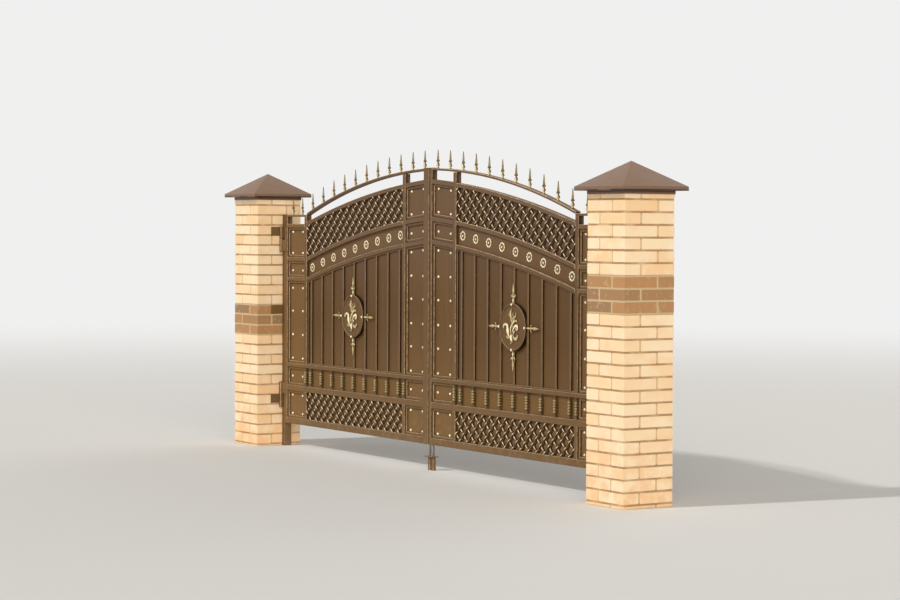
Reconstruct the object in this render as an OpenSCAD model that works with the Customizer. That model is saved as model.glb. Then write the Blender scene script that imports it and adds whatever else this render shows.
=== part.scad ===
/* [Gateway] */
// clear width between the two brick piers
opening = 4320; // [3900:10:4700]
// how far the middle of the two leaves' gap lies to the right of the gateway's middle
gap_middle = 8; // [0:1:20]
// width of the gap between the two leaves
leaf_gap = 8; // [6:1:14]

/* [Brick piers] */
// side of each square pier, one and a half bricks
pier_side = 380; // [320:10:500]
// height of the brickwork, twenty-five courses of 77
pier_height = 1925; // [1848:77:2156]
// side of the sheet-metal cap
cap_side = 500; // [440:10:620]
// rise of the cap's pyramid above its fascia
cap_rise = 159; // [100:1:220]
// height of the cap's upright fascia
cap_fascia = 25; // [15:1:40]
// depth of the cap's skirt round the top of the brickwork
cap_skirt = 22; // [14:1:60]
// wall of the cap's sheet
cap_sheet = 3; // [2:0.5:5]

/* [Posts and hinges] */
// size of the hinge post along the gateway
post_width = 40; // [30:1:60]
// size of the hinge post from street to yard
post_depth = 60; // [40:1:80]
// height of the hinge post
post_height = 1790; // [1750:10:1900]
// height of the plates that are built into the brickwork
plate_height = 68; // [50:1:80]
// how far those plates reach before the post
plate_reach = 102; // [80:1:130]
// thickness of those plates
plate_t = 4; // [3:1:8]
// outside radius of a hinge barrel
barrel_r = 15; // [12:0.5:18]
// radius of the hinge pin
pin_r = 8; // [6:0.5:9]
// running gap between pin and leaf barrel
pin_gap = 0.05; // [0.02:0.01:0.1]
// length of each half of a hinge barrel
barrel_half = 98; // [80:1:110]
// height where the lower hinge's two halves meet
low_hinge = 399; // [380:1:450]
// height where the upper hinge's two halves meet
high_hinge = 1601; // [1500:1:1650]
// gap between the two halves of a hinge
barrel_gap = 2; // [1:0.5:4]
// gap between the post and the leaf's hinge stile
side_gap = 20; // [14:1:30]

/* [Leaf frame] */
// distance from the piers' middle to the plane of the stud heads
stud_plane = 28; // [16:1:70]
// how far the stiles' front stands before the stud heads
stile_front = 15; // [10:1:25]
// size of the stiles from street to yard
stile_depth = 44; // [40:1:60]
// width of the hinge stile
hinge_stile = 47; // [40:1:60]
// width of the two stiles beside the barred panel
mid_stile = 36; // [30:1:40]
// width of the riveted panel next to the meeting stile
inner_panel = 273; // [250:1:290]
// width of the riveted panel next to the hinge stile
outer_panel = 269; // [250:1:290]
// distance from the gateway's middle to the inner riveted panel
panel_start = 42; // [38:1:50]
// width of the strip that covers the left leaf's meeting stile
strip_width = 67; // [60:1:80]
// thickness of that strip
strip_t = 3; // [2:0.5:5]
// wall of the steel tube
tube_wall = 3; // [2:0.5:4]
// how far the sheet's face lies behind the stud heads
sheet_back = 8; // [6:1:14]
// thickness of the backing sheet
sheet_t = 2; // [1.5:0.5:4]
// height of the leaf's lower edge
leaf_bottom = 182; // [160:1:220]
// height of the bottom rail
bottom_rail = 48; // [40:1:60]
// top of the rail over the lower lattice
low_rail_top = 480; // [470:1:500]
// height of that rail
low_rail = 44; // [36:1:50]
// top of the rail over the balusters
baluster_rail_top = 650; // [640:1:670]
// height of that rail
rail = 30; // [24:1:34]
// lower end of the stiles' tops over the top arch
stile_top = 12; // [8:1:20]

/* [Arches] */
// height of the top arch near the gateway's middle
top_high = 2096; // [2050:1:2140]
// height of the top arch at the hinge end of the barred panel
top_low = 1793; // [1760:1:1830]
// bow of the top arch
top_bow = 58; // [40:1:70]
// thickness of the top arch
top_bar = 16; // [12:1:24]
// height of the second arch near the gateway's middle
second_high = 2006; // [1980:1:2030]
// height of the second arch at the hinge end
second_low = 1718; // [1690:1:1730]
// bow of the second arch
second_bow = 37; // [20:1:50]
// height of the third arch near the gateway's middle
third_high = 1748; // [1730:1:1760]
// height of the third arch at the hinge end
third_low = 1449; // [1430:1:1460]
// bow of the third arch
third_bow = 38; // [20:1:50]
// height of the fourth arch near the gateway's middle
fourth_high = 1586; // [1570:1:1600]
// height of the fourth arch at the hinge end
fourth_low = 1296; // [1280:1:1310]
// bow of the fourth arch
fourth_bow = 34; // [20:1:50]
// thickness of the lower three arches
arch_bar = 29; // [24:1:34]

/* [Infill] */
// number of upright bars in a leaf
bar_count = 9; // [7:2:11]
// width of an upright bar
bar_width = 20; // [12:1:24]
// size of an upright bar from street to yard
bar_depth = 14; // [12:1:22]
// distance from a mid stile's middle to the nearest bar
bar_end = 76; // [70:1:90]
// greatest radius of a baluster
baluster_r = 12; // [9:1:14]
// side of a lattice bar
lattice_bar = 10; // [6:1:12]
// spacing of the lattice along the leaf
lattice_pitch = 92; // [80:1:110]
// gap between the lattice and the sheet
lattice_gap = 8; // [3:1:10]
// radius of a stud head
stud_r = 10; // [8:1:12]
// distance from the nearer stile to the studs
stud_inset = 58; // [50:1:66]
// least distance of a stud's middle from its cell's upper and lower edges
stud_edge = 32; // [30:1:40]
// outside radius of a rosette ring
rosette_r = 35; // [28:1:38]
// width of the bead round each riveted cell
bead = 18; // [12:1:22]
// height of the bead above the sheet
bead_height = 13; // [8:1:16]
// width of the bead round the barred panel
bar_bead = 10; // [6:1:14]

/* [Medallion] */
// radius of the round plate
disc_r = 157; // [130:1:190]
// height of its middle
disc_z = 1040; // [1000:1:1080]
// thickness of the plate
disc_t = 8; // [5:1:12]
// height of its rim before the plate
disc_rim = 8; // [5:1:10]
// width of its rim
disc_rim_width = 14; // [10:1:20]
// radius of the four balls on the rim
ball_r = 10; // [6:1:12]
// reach of the four spears from the middle
spear_reach = 300; // [280:1:320]

/* [Drop bolts] */
// radius of the drop bolt's rod
bolt_r = 7; // [5:0.5:8]
// running gap round the rod
bolt_gap = 0.5; // [0.3:0.1:1]
// clearance round the rod in the keep's sockets
socket_gap = 5; // [4:0.5:8]
// wall of the keep's sockets
socket_wall = 4; // [3:0.5:6]
// top of the ground keep
keep_top = 100; // [80:1:120]
// gap between the raised bolt and the keep
keep_gap = 5; // [4:1:8]
// length of the rod
bolt_length = 420; // [380:1:460]
// distance of each rod from the middle of the leaves' gap
bolt_side = 22; // [18:1:24]
// distance of the rods behind the stud heads
bolt_depth = 16; // [12:1:20]

/* [Hidden] */
$fn = 64;
big = 6000;
paint = "#6b5138";
gold = "#c9a25a";
brick = "#e6c79b";

// Depths, from the street (minus) to the yard (plus).
front = stud_plane - stile_front;
back = front + stile_depth;
sheet_face = stud_plane + sheet_back;
axis_y = stud_plane - 20;

// Places along the gateway, measured from its middle towards a pier.
jamb = opening / 2;
axis_u = jamb - post_width / 2;
leaf_end = jamb - post_width - side_gap;
inner_end = panel_start + inner_panel;
outer_end = leaf_end - hinge_stile;
outer_start = outer_end - outer_panel;
main_start = inner_end + mid_stile;
main_end = outer_start - mid_stile;
mid_a = inner_end + mid_stile / 2;
mid_b = outer_start - mid_stile / 2;
bar_pitch = (mid_b - mid_a - 2 * bar_end) / (bar_count - 1);
arch_u0 = 150;
arch_u1 = main_end;

// The leaf's lower edge and the levels of its rails.
low_z = leaf_bottom + bottom_rail;
low_rail_under = low_rail_top - low_rail;
baluster_rail_under = baluster_rail_top - rail;
bolt_y = stud_plane + bolt_depth;
flat_top = top_low - 12;
flat_second = second_low - 14;
plate_z = [332, 1023, 1628];

function bar_u(k) = mid_a + bar_end + k * bar_pitch;

// A circle through the two ends of an arch with the given bow: [middle u, middle z, radius].
function arch_circle(high, low, bow) =
    let (run = arch_u1 - arch_u0)
    let (drop = low - high)
    let (chord = sqrt(run * run + drop * drop))
    let (r = chord * chord / (8 * bow) + bow / 2)
    let (side = r - bow)
    [(arch_u0 + arch_u1) / 2 + side * drop / chord, (high + low) / 2 - side * run / chord, r];

function arch_z(c, u) = c[1] + sqrt(c[2] * c[2] - (u - c[0]) * (u - c[0]));

top_c = arch_circle(top_high, top_low, top_bow);
second_c = arch_circle(second_high, second_low, second_bow);
third_c = arch_circle(third_high, third_low, third_bow);
fourth_c = arch_circle(fourth_high, fourth_low, fourth_bow);

// A block from its two opposite corners.
module block(low, high) {
    translate(low)
        cube(high - low);
}

// A round bar or hole along the depth.
module depth_round(u, z, r, y0, y1) {
    translate([u, y1, z])
        rotate([90, 0, 0])
            cylinder(h = y1 - y0, r = r);
}

// The left leaf is the right one mirrored.
module side(left) {
    if (left)
        mirror([1, 0, 0])
            children();
    else
        children();
}

function meet(left) = (left ? -gap_middle : gap_middle) + leaf_gap / 2;
function bolt_u(left) = (left ? -gap_middle : gap_middle) + bolt_side;

// The sector under an arch line, from the circle's middle out to two places along the leaf.
module sector(c, step, u0, u1, y0, y1) {
    r = c[2] + step;
    a = acos((u1 - c[0]) / r);
    b = acos((u0 - c[0]) / r);
    translate([c[0], y1, c[1]])
        rotate([90, 0, 0])
            rotate([0, 0, a])
                rotate_extrude(angle = b - a, $fn = 256)
                    square([r, y1 - y0]);
}

// All that lies above an arch line between a place near the middle and the hinge end of the arch.
module above_arch(c, step, u0, y0, y1) {
    difference() {
        block([u0, y0, arch_z(c, main_end) + step - 10], [main_end, y1, big]);
        sector(c, step, u0 - 1, main_end + 12, y0 - 1, y1 + 1);
    }
}

// A curved bar from one step off an arch line to another, between two places along the leaf.
module arch_strip(c, low, high, u0, u1, y0, y1) {
    intersection() {
        block([u0, y0, 0], [u1, y1, big]);
        difference() {
            sector(c, high, u0 - 12, u1 + 12, y0, y1);
            sector(c, low, u0 - 20, u1 + 20, y0 - 1, y1 + 1);
        }
    }
}

module arch_band(c, thick, u0, u1, y0, y1) {
    arch_strip(c, -thick / 2, thick / 2, u0, u1, y0, y1);
}

// A hollow upright tube.
module tube(low, high) {
    difference() {
        block(low, high);
        block([low[0] + tube_wall, low[1] + tube_wall, low[2] + tube_wall],
              [high[0] - tube_wall, high[1] - tube_wall, high[2] - tube_wall]);
    }
}

module pier() {
    color(brick)
        block([jamb, -pier_side / 2, 0], [jamb + pier_side, pier_side / 2, pier_height]);
}

// A pyramid, given the middle, the side at the foot and the height.
module pyramid(side_mm, z, h) {
    translate([jamb + pier_side / 2, 0, z])
        rotate([0, 0, 45])
            cylinder(h = h, r1 = side_mm / sqrt(2), r2 = 1, $fn = 4);
}

module pier_cap() {
    mid = jamb + pier_side / 2;
    half = cap_side / 2;
    in = half - cap_sheet;
    brick_half = pier_side / 2;
    color(paint)
        union() {
            difference() {
                union() {
                    pyramid(cap_side, pier_height + cap_fascia, cap_rise);
                    block([mid - half, -half, pier_height], [mid + half, half, pier_height + cap_fascia]);
                }
                pyramid(2 * in, pier_height + cap_fascia, cap_rise - cap_sheet);
                block([mid - in, -in, pier_height + cap_sheet], [mid + in, in, pier_height + cap_fascia]);
            }
            difference() {
                block([mid - brick_half - cap_sheet, -brick_half - cap_sheet, pier_height - cap_skirt],
                      [mid + brick_half + cap_sheet, brick_half + cap_sheet, pier_height]);
                block([mid - brick_half, -brick_half, pier_height - cap_skirt - 1],
                      [mid + brick_half, brick_half, pier_height]);
            }
        }
}

// One fixed hinge knuckle with the web that welds it to the post.
module fixed_knuckle(z) {
    difference() {
        union() {
            translate([axis_u, axis_y, z])
                cylinder(h = barrel_half, r = barrel_r);
            block([axis_u - 10, axis_y + 10, z + 6], [axis_u + 10, stud_plane + 1, z + barrel_half - 6]);
        }
        translate([axis_u, axis_y, z - 1])
            cylinder(h = barrel_half + 2, r = pin_r);
    }
}

module post() {
    color(paint)
        union() {
            tube([jamb - post_width, stud_plane, 0], [jamb, stud_plane + post_depth, post_height]);
            for (z = plate_z)
                block([jamb - plate_t, stud_plane - plate_reach, z],
                      [jamb, stud_plane + 1, z + plate_height]);
            fixed_knuckle(low_hinge - barrel_gap / 2 - barrel_half);
            fixed_knuckle(high_hinge + barrel_gap / 2);
        }
}

module hinge_pins() {
    color(paint)
        for (z = [low_hinge, high_hinge])
            translate([axis_u, axis_y, z - barrel_half])
                cylinder(h = 2 * barrel_half, r = pin_r);
}

module ground_keep() {
    color(paint)
        difference() {
            union() {
                block([gap_middle - 55, bolt_y - 36, keep_top - 6],
                      [gap_middle + 55, bolt_y + 24, keep_top]);
                for (u = [gap_middle - bolt_side, gap_middle + bolt_side])
                    translate([u, bolt_y, 0])
                        cylinder(h = keep_top - 6, r = bolt_r + socket_gap + socket_wall);
            }
            for (u = [gap_middle - bolt_side, gap_middle + bolt_side])
                translate([u, bolt_y, 10])
                    cylinder(h = keep_top, r = bolt_r + socket_gap);
        }
}

// A stile beside the barred panel, set back behind the rails and balusters that cross it.
module middle_stile(u0, u1, top) {
    tube([u0, front, low_z], [u1, back, low_rail_under]);
    tube([u0, sheet_face, low_rail_under], [u1, back, baluster_rail_top]);
    tube([u0, front, baluster_rail_top], [u1, back, top]);
}

module stiles(left) {
    m = meet(left);
    color(paint)
        side(left) {
            difference() {
                tube([m, front, leaf_bottom], [panel_start, back, arch_z(top_c, panel_start) + stile_top]);
                translate([bolt_u(left), bolt_y, leaf_bottom - 1])
                    cylinder(h = tube_wall + 2, r = bolt_r + bolt_gap);
                block([bolt_u(left) - 6, back - tube_wall - 1, 420], [bolt_u(left) + 6, back + 1, 580]);
            }
            middle_stile(inner_end, main_start, arch_z(top_c, main_start) - top_bar / 2 - 1);
            middle_stile(main_end, outer_start, flat_top - top_bar / 2);
            tube([outer_end, front, leaf_bottom], [leaf_end, back, flat_top + top_bar / 2]);
        }
}

module cover_strip() {
    color(paint)
        side(true)
            block([meet(true), front - strip_t, leaf_bottom],
                  [meet(true) + strip_width, front, arch_z(top_c, panel_start) + stile_top]);
}

module rails(left) {
    h = arch_bar / 2;
    color(paint)
        side(left) {
            tube([panel_start, front, leaf_bottom], [outer_end, back, low_z]);
            block([panel_start, front, low_rail_under], [outer_end, sheet_face, low_rail_top]);
            block([panel_start, front, baluster_rail_under], [outer_end, sheet_face, baluster_rail_top]);
            block([outer_start, front, fourth_low - h], [outer_end, sheet_face, fourth_low + h]);
            block([outer_start, front, third_low - h], [outer_end, sheet_face, third_low + h]);
        }
}

module top_arch(left) {
    color(paint)
        side(left)
            union() {
                arch_band(top_c, top_bar, panel_start, main_end, front, back);
                block([main_end, front, flat_top - top_bar / 2], [outer_end, back, flat_top + top_bar / 2]);
            }
}

module arches(left) {
    h = arch_bar / 2;
    color(paint)
        side(left) {
            arch_band(second_c, arch_bar, panel_start, inner_end, front, back);
            arch_band(second_c, arch_bar, main_start, main_end, front, back);
            block([outer_start, front, flat_second - h], [outer_end, back, flat_second + h]);
            arch_band(third_c, arch_bar, panel_start, inner_end, front, sheet_face);
            arch_band(third_c, arch_bar, main_start, main_end, front, sheet_face);
            arch_band(fourth_c, arch_bar, panel_start, inner_end, front, sheet_face);
            arch_band(fourth_c, arch_bar, main_start, main_end, front, sheet_face);
        }
}

module sheet(left) {
    y0 = sheet_face;
    y1 = sheet_face + sheet_t;
    h = arch_bar / 2;
    color(paint)
        side(left) {
            difference() {
                union() {
                    block([panel_start, y0, low_z], [inner_end, y1, second_high + 100]);
                    block([main_start, y0, low_z], [main_end, y1, second_high + 100]);
                }
                above_arch(second_c, -h, panel_start, 0, 200);
            }
            block([outer_start, y0, low_z], [outer_end, y1, flat_second - h]);
        }
}

// The riveted cells from the top one down: lower and upper edge at one place along the leaf.
function cells(u) =
    let (h = arch_bar / 2)
    let (outer = u > main_end)
    let (lift = outer ? 0 : 2.5)
    let (second = outer ? flat_second : arch_z(second_c, u))
    let (third = outer ? third_low : arch_z(third_c, u))
    let (fourth = outer ? fourth_low : arch_z(fourth_c, u))
    [[third + h + lift, second - h], [fourth + h + lift, third - h], [baluster_rail_top, fourth - h],
     [low_rail_top, baluster_rail_under], [low_z, low_rail_under]];

// A bead ring round one cell, from the edges at its two sides.
module bead_ring(u0, u1, e0, e1) {
    b = bead;
    translate([0, sheet_face, 0])
        rotate([90, 0, 0])
            linear_extrude(height = bead_height)
                difference() {
                    polygon([[u0, e0[0]], [u1, e1[0]], [u1, e1[1]], [u0, e0[1]]]);
                    polygon([[u0 + b, e0[0] + b], [u1 - b, e1[0] + b],
                             [u1 - b, e1[1] - b], [u0 + b, e0[1] - b]]);
                }
}

module beads(left) {
    color(paint)
        side(left)
            for (panel = [[panel_start, inner_end], [outer_start, outer_end]])
                for (k = [0 : 4])
                    bead_ring(panel[0], panel[1], cells(panel[0])[k], cells(panel[1])[k]);
}

// The upright bars, with the low bead that frames the barred panel. The sector's far side leans inwards
// on its way down, so it starts well outside the panel.
module bars(left) {
    face = sheet_face - bead_height;
    h = arch_bar / 2;
    b = bar_bead;
    lean = (fourth_low - baluster_rail_top) / 2;
    color(paint)
        side(left)
            difference() {
                union() {
                    for (k = [0 : bar_count - 1])
                        block([bar_u(k) - bar_width / 2, sheet_face - bar_depth, baluster_rail_top],
                              [bar_u(k) + bar_width / 2, sheet_face, fourth_high + 100]);
                    difference() {
                        block([main_start, face, baluster_rail_top],
                              [main_end, sheet_face, fourth_high + 100]);
                        intersection() {
                            block([main_start + b, face - 1, baluster_rail_top + b],
                                  [main_end - b, sheet_face + 1, fourth_high + 99]);
                            sector(fourth_c, -h - b, main_start - 20, main_end + lean,
                                   face - 2, sheet_face + 2);
                        }
                    }
                }
                above_arch(fourth_c, -h, main_start, 0, 100);
            }
}

// A turned spindle between the two lower rails: collars, necks and a ringed barrel.
module baluster(u) {
    h = baluster_rail_under - low_rail_top;
    r = baluster_r;
    rings = 4;
    step = 0.56 / rings;
    foot = [[0, 0], [0.8, 0], [0.8, 0.06], [0.45, 0.1], [0.45, 0.16]];
    half = [for (p = foot) [p[0] * r, p[1] * h]];
    barrel = [for (k = [0 : rings - 1], p = [[0.7, 0], [1, 0.3], [1, 0.7], [0.7, 1]])
        [p[0] * r, (0.22 + (k + p[1] * 0.98) * step) * h]];
    head = [for (k = [len(foot) - 1 : -1 : 0]) [foot[k][0] * r, (1 - foot[k][1]) * h]];
    translate([u, sheet_face - 2 - r, low_rail_top])
        rotate_extrude()
            polygon(concat(half, barrel, head));
}

module balusters(left) {
    color(paint)
        side(left)
            for (u = concat([mid_a, mid_b], [for (k = [0 : bar_count - 1]) bar_u(k)]))
                baluster(u);
}

// Crossed bars at one depth, between two heights and cut to the bay.
module lattice(z0, z1) {
    n = ceil((main_end - main_start + z1 - z0) / lattice_pitch) + 1;
    y1 = sheet_face - lattice_gap;
    s = lattice_bar / 2;
    reach = z1 - z0;
    for (k = [-n : n])
        for (a = [-45, 45])
            translate([(main_start + main_end) / 2 + k * lattice_pitch / 2, y1 - lattice_bar, (z0 + z1) / 2])
                if (abs(k * lattice_pitch / 2) < (main_end - main_start + reach) / 2 && (k % 2 == 0))
                    rotate([0, a, 0])
                        block([-s, 0, -reach], [s, lattice_bar, reach]);
}

module top_lattice(left) {
    color(paint)
        side(left)
            difference() {
                intersection() {
                    lattice(third_low - 9, second_high + 14);
                    block([main_start, 0, third_low - 9], [main_end, 100, second_high + 94]);
                }
                above_arch(second_c, -arch_bar / 2, main_start, 0, 100);
                sector(third_c, arch_bar / 2, main_start - 20, main_end + 12, 0, 100);
            }
}

module bottom_lattice(left) {
    color(paint)
        side(left)
            intersection() {
                lattice(low_z, low_rail_under);
                block([main_start, 0, low_z], [main_end, 100, low_rail_under]);
            }
}

function rosette_z(u) = (arch_z(third_c, u) + arch_z(fourth_c, u)) / 2;

// A cast rosette: a rounded ring, a shallow hollow and a knob in its middle.
module rosette(u, z) {
    r = rosette_r;
    translate([u, sheet_face, z])
        rotate([90, 0, 0])
            rotate_extrude()
                polygon([[0, 0], [r, 0], [r, 3], [r * 0.9, 6], [r * 0.78, 6], [r * 0.66, 2],
                         [r * 0.26, 2], [r * 0.2, 6], [0, 8]]);
}

module rosettes(left) {
    color(gold)
        side(left)
            for (k = [0 : bar_count - 1])
                rosette(bar_u(k), rosette_z(bar_u(k)));
}

// Stud rows of each cell, as shares of the way from its lowest possible row to its highest.
inner_rows = [[0, 1], [0.42], [0, 0.2, 0.39, 0.59, 0.78, 0.99], [0.5], [0, 1]];
outer_rows = [[0, 1], [0.33], [0.01, 0.33, 0.65, 0.96], [0.5], [0, 1]];

function stud_z(cell, share) =
    let (low = cell[0] + stud_edge)
    let (high = cell[1] - stud_edge)
    low + share * (high - low);

// A round head on a face: half a ball.
module dome(u, y, z, r) {
    intersection() {
        translate([u, y, z])
            sphere(r = r);
        block([u - r - 1, y - r - 1, z - r - 1], [u + r + 1, y, z + r + 1]);
    }
}

// One panel's studs. A row follows the arches only in the two upper cells and at a cell's very top.
module panel_studs(u0, u1, rows) {
    for (k = [0 : 4])
        for (share = rows[k])
            for (u = [u0, u1])
                dome(u, sheet_face, stud_z(cells(k < 2 || share > 0.9 ? u : u0)[k], share), stud_r);
}

module studs(left) {
    color(gold)
        side(left) {
            panel_studs(panel_start + stud_inset, inner_end - stud_inset, inner_rows);
            panel_studs(outer_start + stud_inset - 4, outer_end - stud_inset, outer_rows);
        }
}

bar_face = sheet_face - bar_depth;
rim_face = bar_face - disc_t - disc_rim;
disc_u = bar_u((bar_count - 1) / 2);

module medallion(left) {
    color(paint)
        side(left)
            difference() {
                depth_round(disc_u, disc_z, disc_r, rim_face, bar_face);
                depth_round(disc_u, disc_z, disc_r - disc_rim_width, rim_face - 1, bar_face - disc_t);
            }
}

// Half the outline of a spear: distance from its middle line, and distance beyond the rim.
spear_half = [[5, 0], [5, 14], [10, 17], [10, 23], [5, 27], [5, 40], [9, 44], [22, 49], [25, 56], [21, 62],
              [11, 64], [10, 70], [15, 84], [13, 97]];

// A spear that lies flat on the bars and points away from the plate's middle.
module spear(angle) {
    right_side = [for (p = spear_half) [p[0], disc_r + p[1]]];
    left_side = [for (k = [len(spear_half) - 1 : -1 : 0]) [-spear_half[k][0], disc_r + spear_half[k][1]]];
    translate([disc_u, bar_face, disc_z])
        rotate([0, angle, 0])
            rotate([90, 0, 0])
                linear_extrude(height = 8)
                    polygon(concat(right_side, [[0, spear_reach]], left_side));
}

// Four spears, with a ball on the rim at the root of each.
module spears(left) {
    path = disc_r - disc_rim_width / 2;
    color(gold)
        side(left)
            for (angle = [0, 90, 180, 270]) {
                spear(angle);
                dome(disc_u + path * sin(angle), rim_face, disc_z + path * cos(angle), ball_r);
            }
}

finial_u = concat([panel_start + 43, inner_end - 70], [for (k = [0 : bar_count - 1]) bar_u(k)],
                  [outer_start + 68, outer_end - 57]);

function top_z(u) = u > main_end ? flat_top + top_bar / 2 : arch_z(top_c, u) + top_bar / 2;

module finial(u) {
    z = top_z(u);
    translate([u, (front + back) / 2, z - 2]) {
        rotate_extrude()
            polygon([[0, 0], [11, 0], [11, 6], [7, 10], [7, 14], [13, 26], [13, 30],
                     [7, 42], [5, 50], [0, 50]]);
        translate([0, 3, 48])
            rotate([90, 0, 0])
                linear_extrude(height = 6)
                    polygon([[-5, 0], [5, 0], [5, 4], [17, -2], [19, 8], [8, 18], [10, 36], [0, 84],
                             [-10, 36], [-8, 18], [-19, 8], [-17, -2], [-5, 4]]);
    }
}

module finials(left) {
    color(gold)
        side(left)
            difference() {
                for (u = finial_u)
                    finial(u);
                sector(top_c, top_bar / 2, -20, main_end + 12, -1, 200);
                block([main_end, 0, flat_top - 30], [leaf_end, 100, flat_top + top_bar / 2]);
            }
}

// One leaf knuckle with the strap that lies on the hinge stile's face.
module leaf_knuckle(z) {
    difference() {
        union() {
            translate([axis_u, axis_y, z])
                cylinder(h = barrel_half, r = barrel_r);
            block([leaf_end - 40, front - 6, z + 5], [axis_u - barrel_r + 4, front, z + barrel_half - 5]);
        }
        translate([axis_u, axis_y, z - 1])
            cylinder(h = barrel_half + 2, r = pin_r + pin_gap);
    }
}

module hinge_barrels(left) {
    color(paint)
        side(left) {
            leaf_knuckle(low_hinge + barrel_gap / 2);
            leaf_knuckle(high_hinge - barrel_gap / 2 - barrel_half);
        }
}

module drop_bolt(left) {
    tip = keep_top + keep_gap;
    color(paint)
        side(left)
            union() {
                translate([bolt_u(left), bolt_y, tip])
                    cylinder(h = bolt_length, r = bolt_r);
                depth_round(bolt_u(left), tip + bolt_length - 40, 5, bolt_y, back + 30);
            }
}

mirror([1, 0, 0]) pier();  // left_pier
pier();  // right_pier
mirror([1, 0, 0]) pier_cap();  // left_pier_cap
pier_cap();  // right_pier_cap
mirror([1, 0, 0]) post();  // left_post
post();  // right_post
mirror([1, 0, 0]) hinge_pins();  // left_hinge_pins
hinge_pins();  // right_hinge_pins
ground_keep();
stiles(true);  // left_stiles
rails(true);  // left_rails
top_arch(true);  // left_top_arch
arches(true);  // left_arches
sheet(true);  // left_sheet
beads(true);  // left_beads
bars(true);  // left_bars
balusters(true);  // left_balusters
top_lattice(true);  // left_top_lattice
bottom_lattice(true);  // left_bottom_lattice
rosettes(true);  // left_rosettes
studs(true);  // left_studs
medallion(true);  // left_medallion
spears(true);  // left_spears
finials(true);  // left_finials
hinge_barrels(true);  // left_hinge_barrels
drop_bolt(true);  // left_drop_bolt
cover_strip();  // left_cover_strip
stiles(false);  // right_stiles
rails(false);  // right_rails
top_arch(false);  // right_top_arch
arches(false);  // right_arches
sheet(false);  // right_sheet
beads(false);  // right_beads
bars(false);  // right_bars
balusters(false);  // right_balusters
top_lattice(false);  // right_top_lattice
bottom_lattice(false);  // right_bottom_lattice
rosettes(false);  // right_rosettes
studs(false);  // right_studs
medallion(false);  // right_medallion
spears(false);  // right_spears
finials(false);  // right_finials
hinge_barrels(false);  // right_hinge_barrels
drop_bolt(false);  // right_drop_bolt
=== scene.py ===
import math
import random

import bmesh
import bpy
from mathutils import Matrix, Vector


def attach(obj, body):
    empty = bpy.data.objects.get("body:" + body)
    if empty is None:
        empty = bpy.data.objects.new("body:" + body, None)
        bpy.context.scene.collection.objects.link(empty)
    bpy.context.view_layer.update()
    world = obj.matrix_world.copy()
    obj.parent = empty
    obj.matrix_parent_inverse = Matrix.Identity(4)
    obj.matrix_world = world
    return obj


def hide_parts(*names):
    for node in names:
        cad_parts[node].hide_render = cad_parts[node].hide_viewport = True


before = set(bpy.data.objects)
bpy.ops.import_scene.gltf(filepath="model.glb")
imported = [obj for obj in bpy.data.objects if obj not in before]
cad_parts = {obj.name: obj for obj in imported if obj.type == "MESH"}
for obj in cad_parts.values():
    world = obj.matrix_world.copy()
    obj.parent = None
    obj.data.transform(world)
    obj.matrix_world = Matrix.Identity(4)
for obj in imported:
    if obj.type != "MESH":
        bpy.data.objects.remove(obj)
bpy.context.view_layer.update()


# Brick piers.
# Each pier is one and a half bricks square, laid from smooth pale facing bricks in 77 mm courses, with three
# courses of brown bricks round it. The joints are raked out, but the pale pointing of the brown band is
# flush.
JAMB = 2.160
PIER = 0.380
PIER_TOP = 1.925
COURSE = 0.077
JOINT = 0.012
HEADER = 0.120
STRETCHER = PIER - JOINT - HEADER
COURSES = 26
BRICK_EDGE = 0.0018
RAKED = 0.0045
FLUSH = 0.002
chance = random.Random(11)


class Wire:
    """One value, colour or vector in a finish. Sums on it add the Math nodes."""

    def __init__(self, finish, socket):
        self.finish = finish
        self.socket = socket

    def sum_of(self, operation, first, second):
        return self.finish.node("ShaderNodeMath", {"operation": operation}, {0: first, 1: second})

    def __add__(self, other):
        return self.sum_of("ADD", self, other)

    def __radd__(self, other):
        return self.sum_of("ADD", other, self)

    def __sub__(self, other):
        return self.sum_of("SUBTRACT", self, other)

    def __rsub__(self, other):
        return self.sum_of("SUBTRACT", other, self)

    def __mul__(self, other):
        return self.sum_of("MULTIPLY", self, other)

    def __rmul__(self, other):
        return self.sum_of("MULTIPLY", other, self)

    def __pow__(self, other):
        return self.sum_of("POWER", self, other)

    def __abs__(self):
        return self.sum_of("ABSOLUTE", self, 0.0)

    def fold(self, reach):
        """Runs from 0 up to the reach and back again, over and over."""
        return self.sum_of("PINGPONG", self, reach)

    def rise(self, low, high):
        """0 up to low, 1 from high on, with a soft way between them."""
        settings = {"interpolation_type": "SMOOTHSTEP"}
        sockets = {"Value": self, "From Min": low, "From Max": high}
        return self.finish.node("ShaderNodeMapRange", settings, sockets)

    def near(self, middle, reach):
        """1 at the middle value, 0 from the reach on either side."""
        return 1.0 - abs(self - middle).rise(reach * 0.4, reach)


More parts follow.
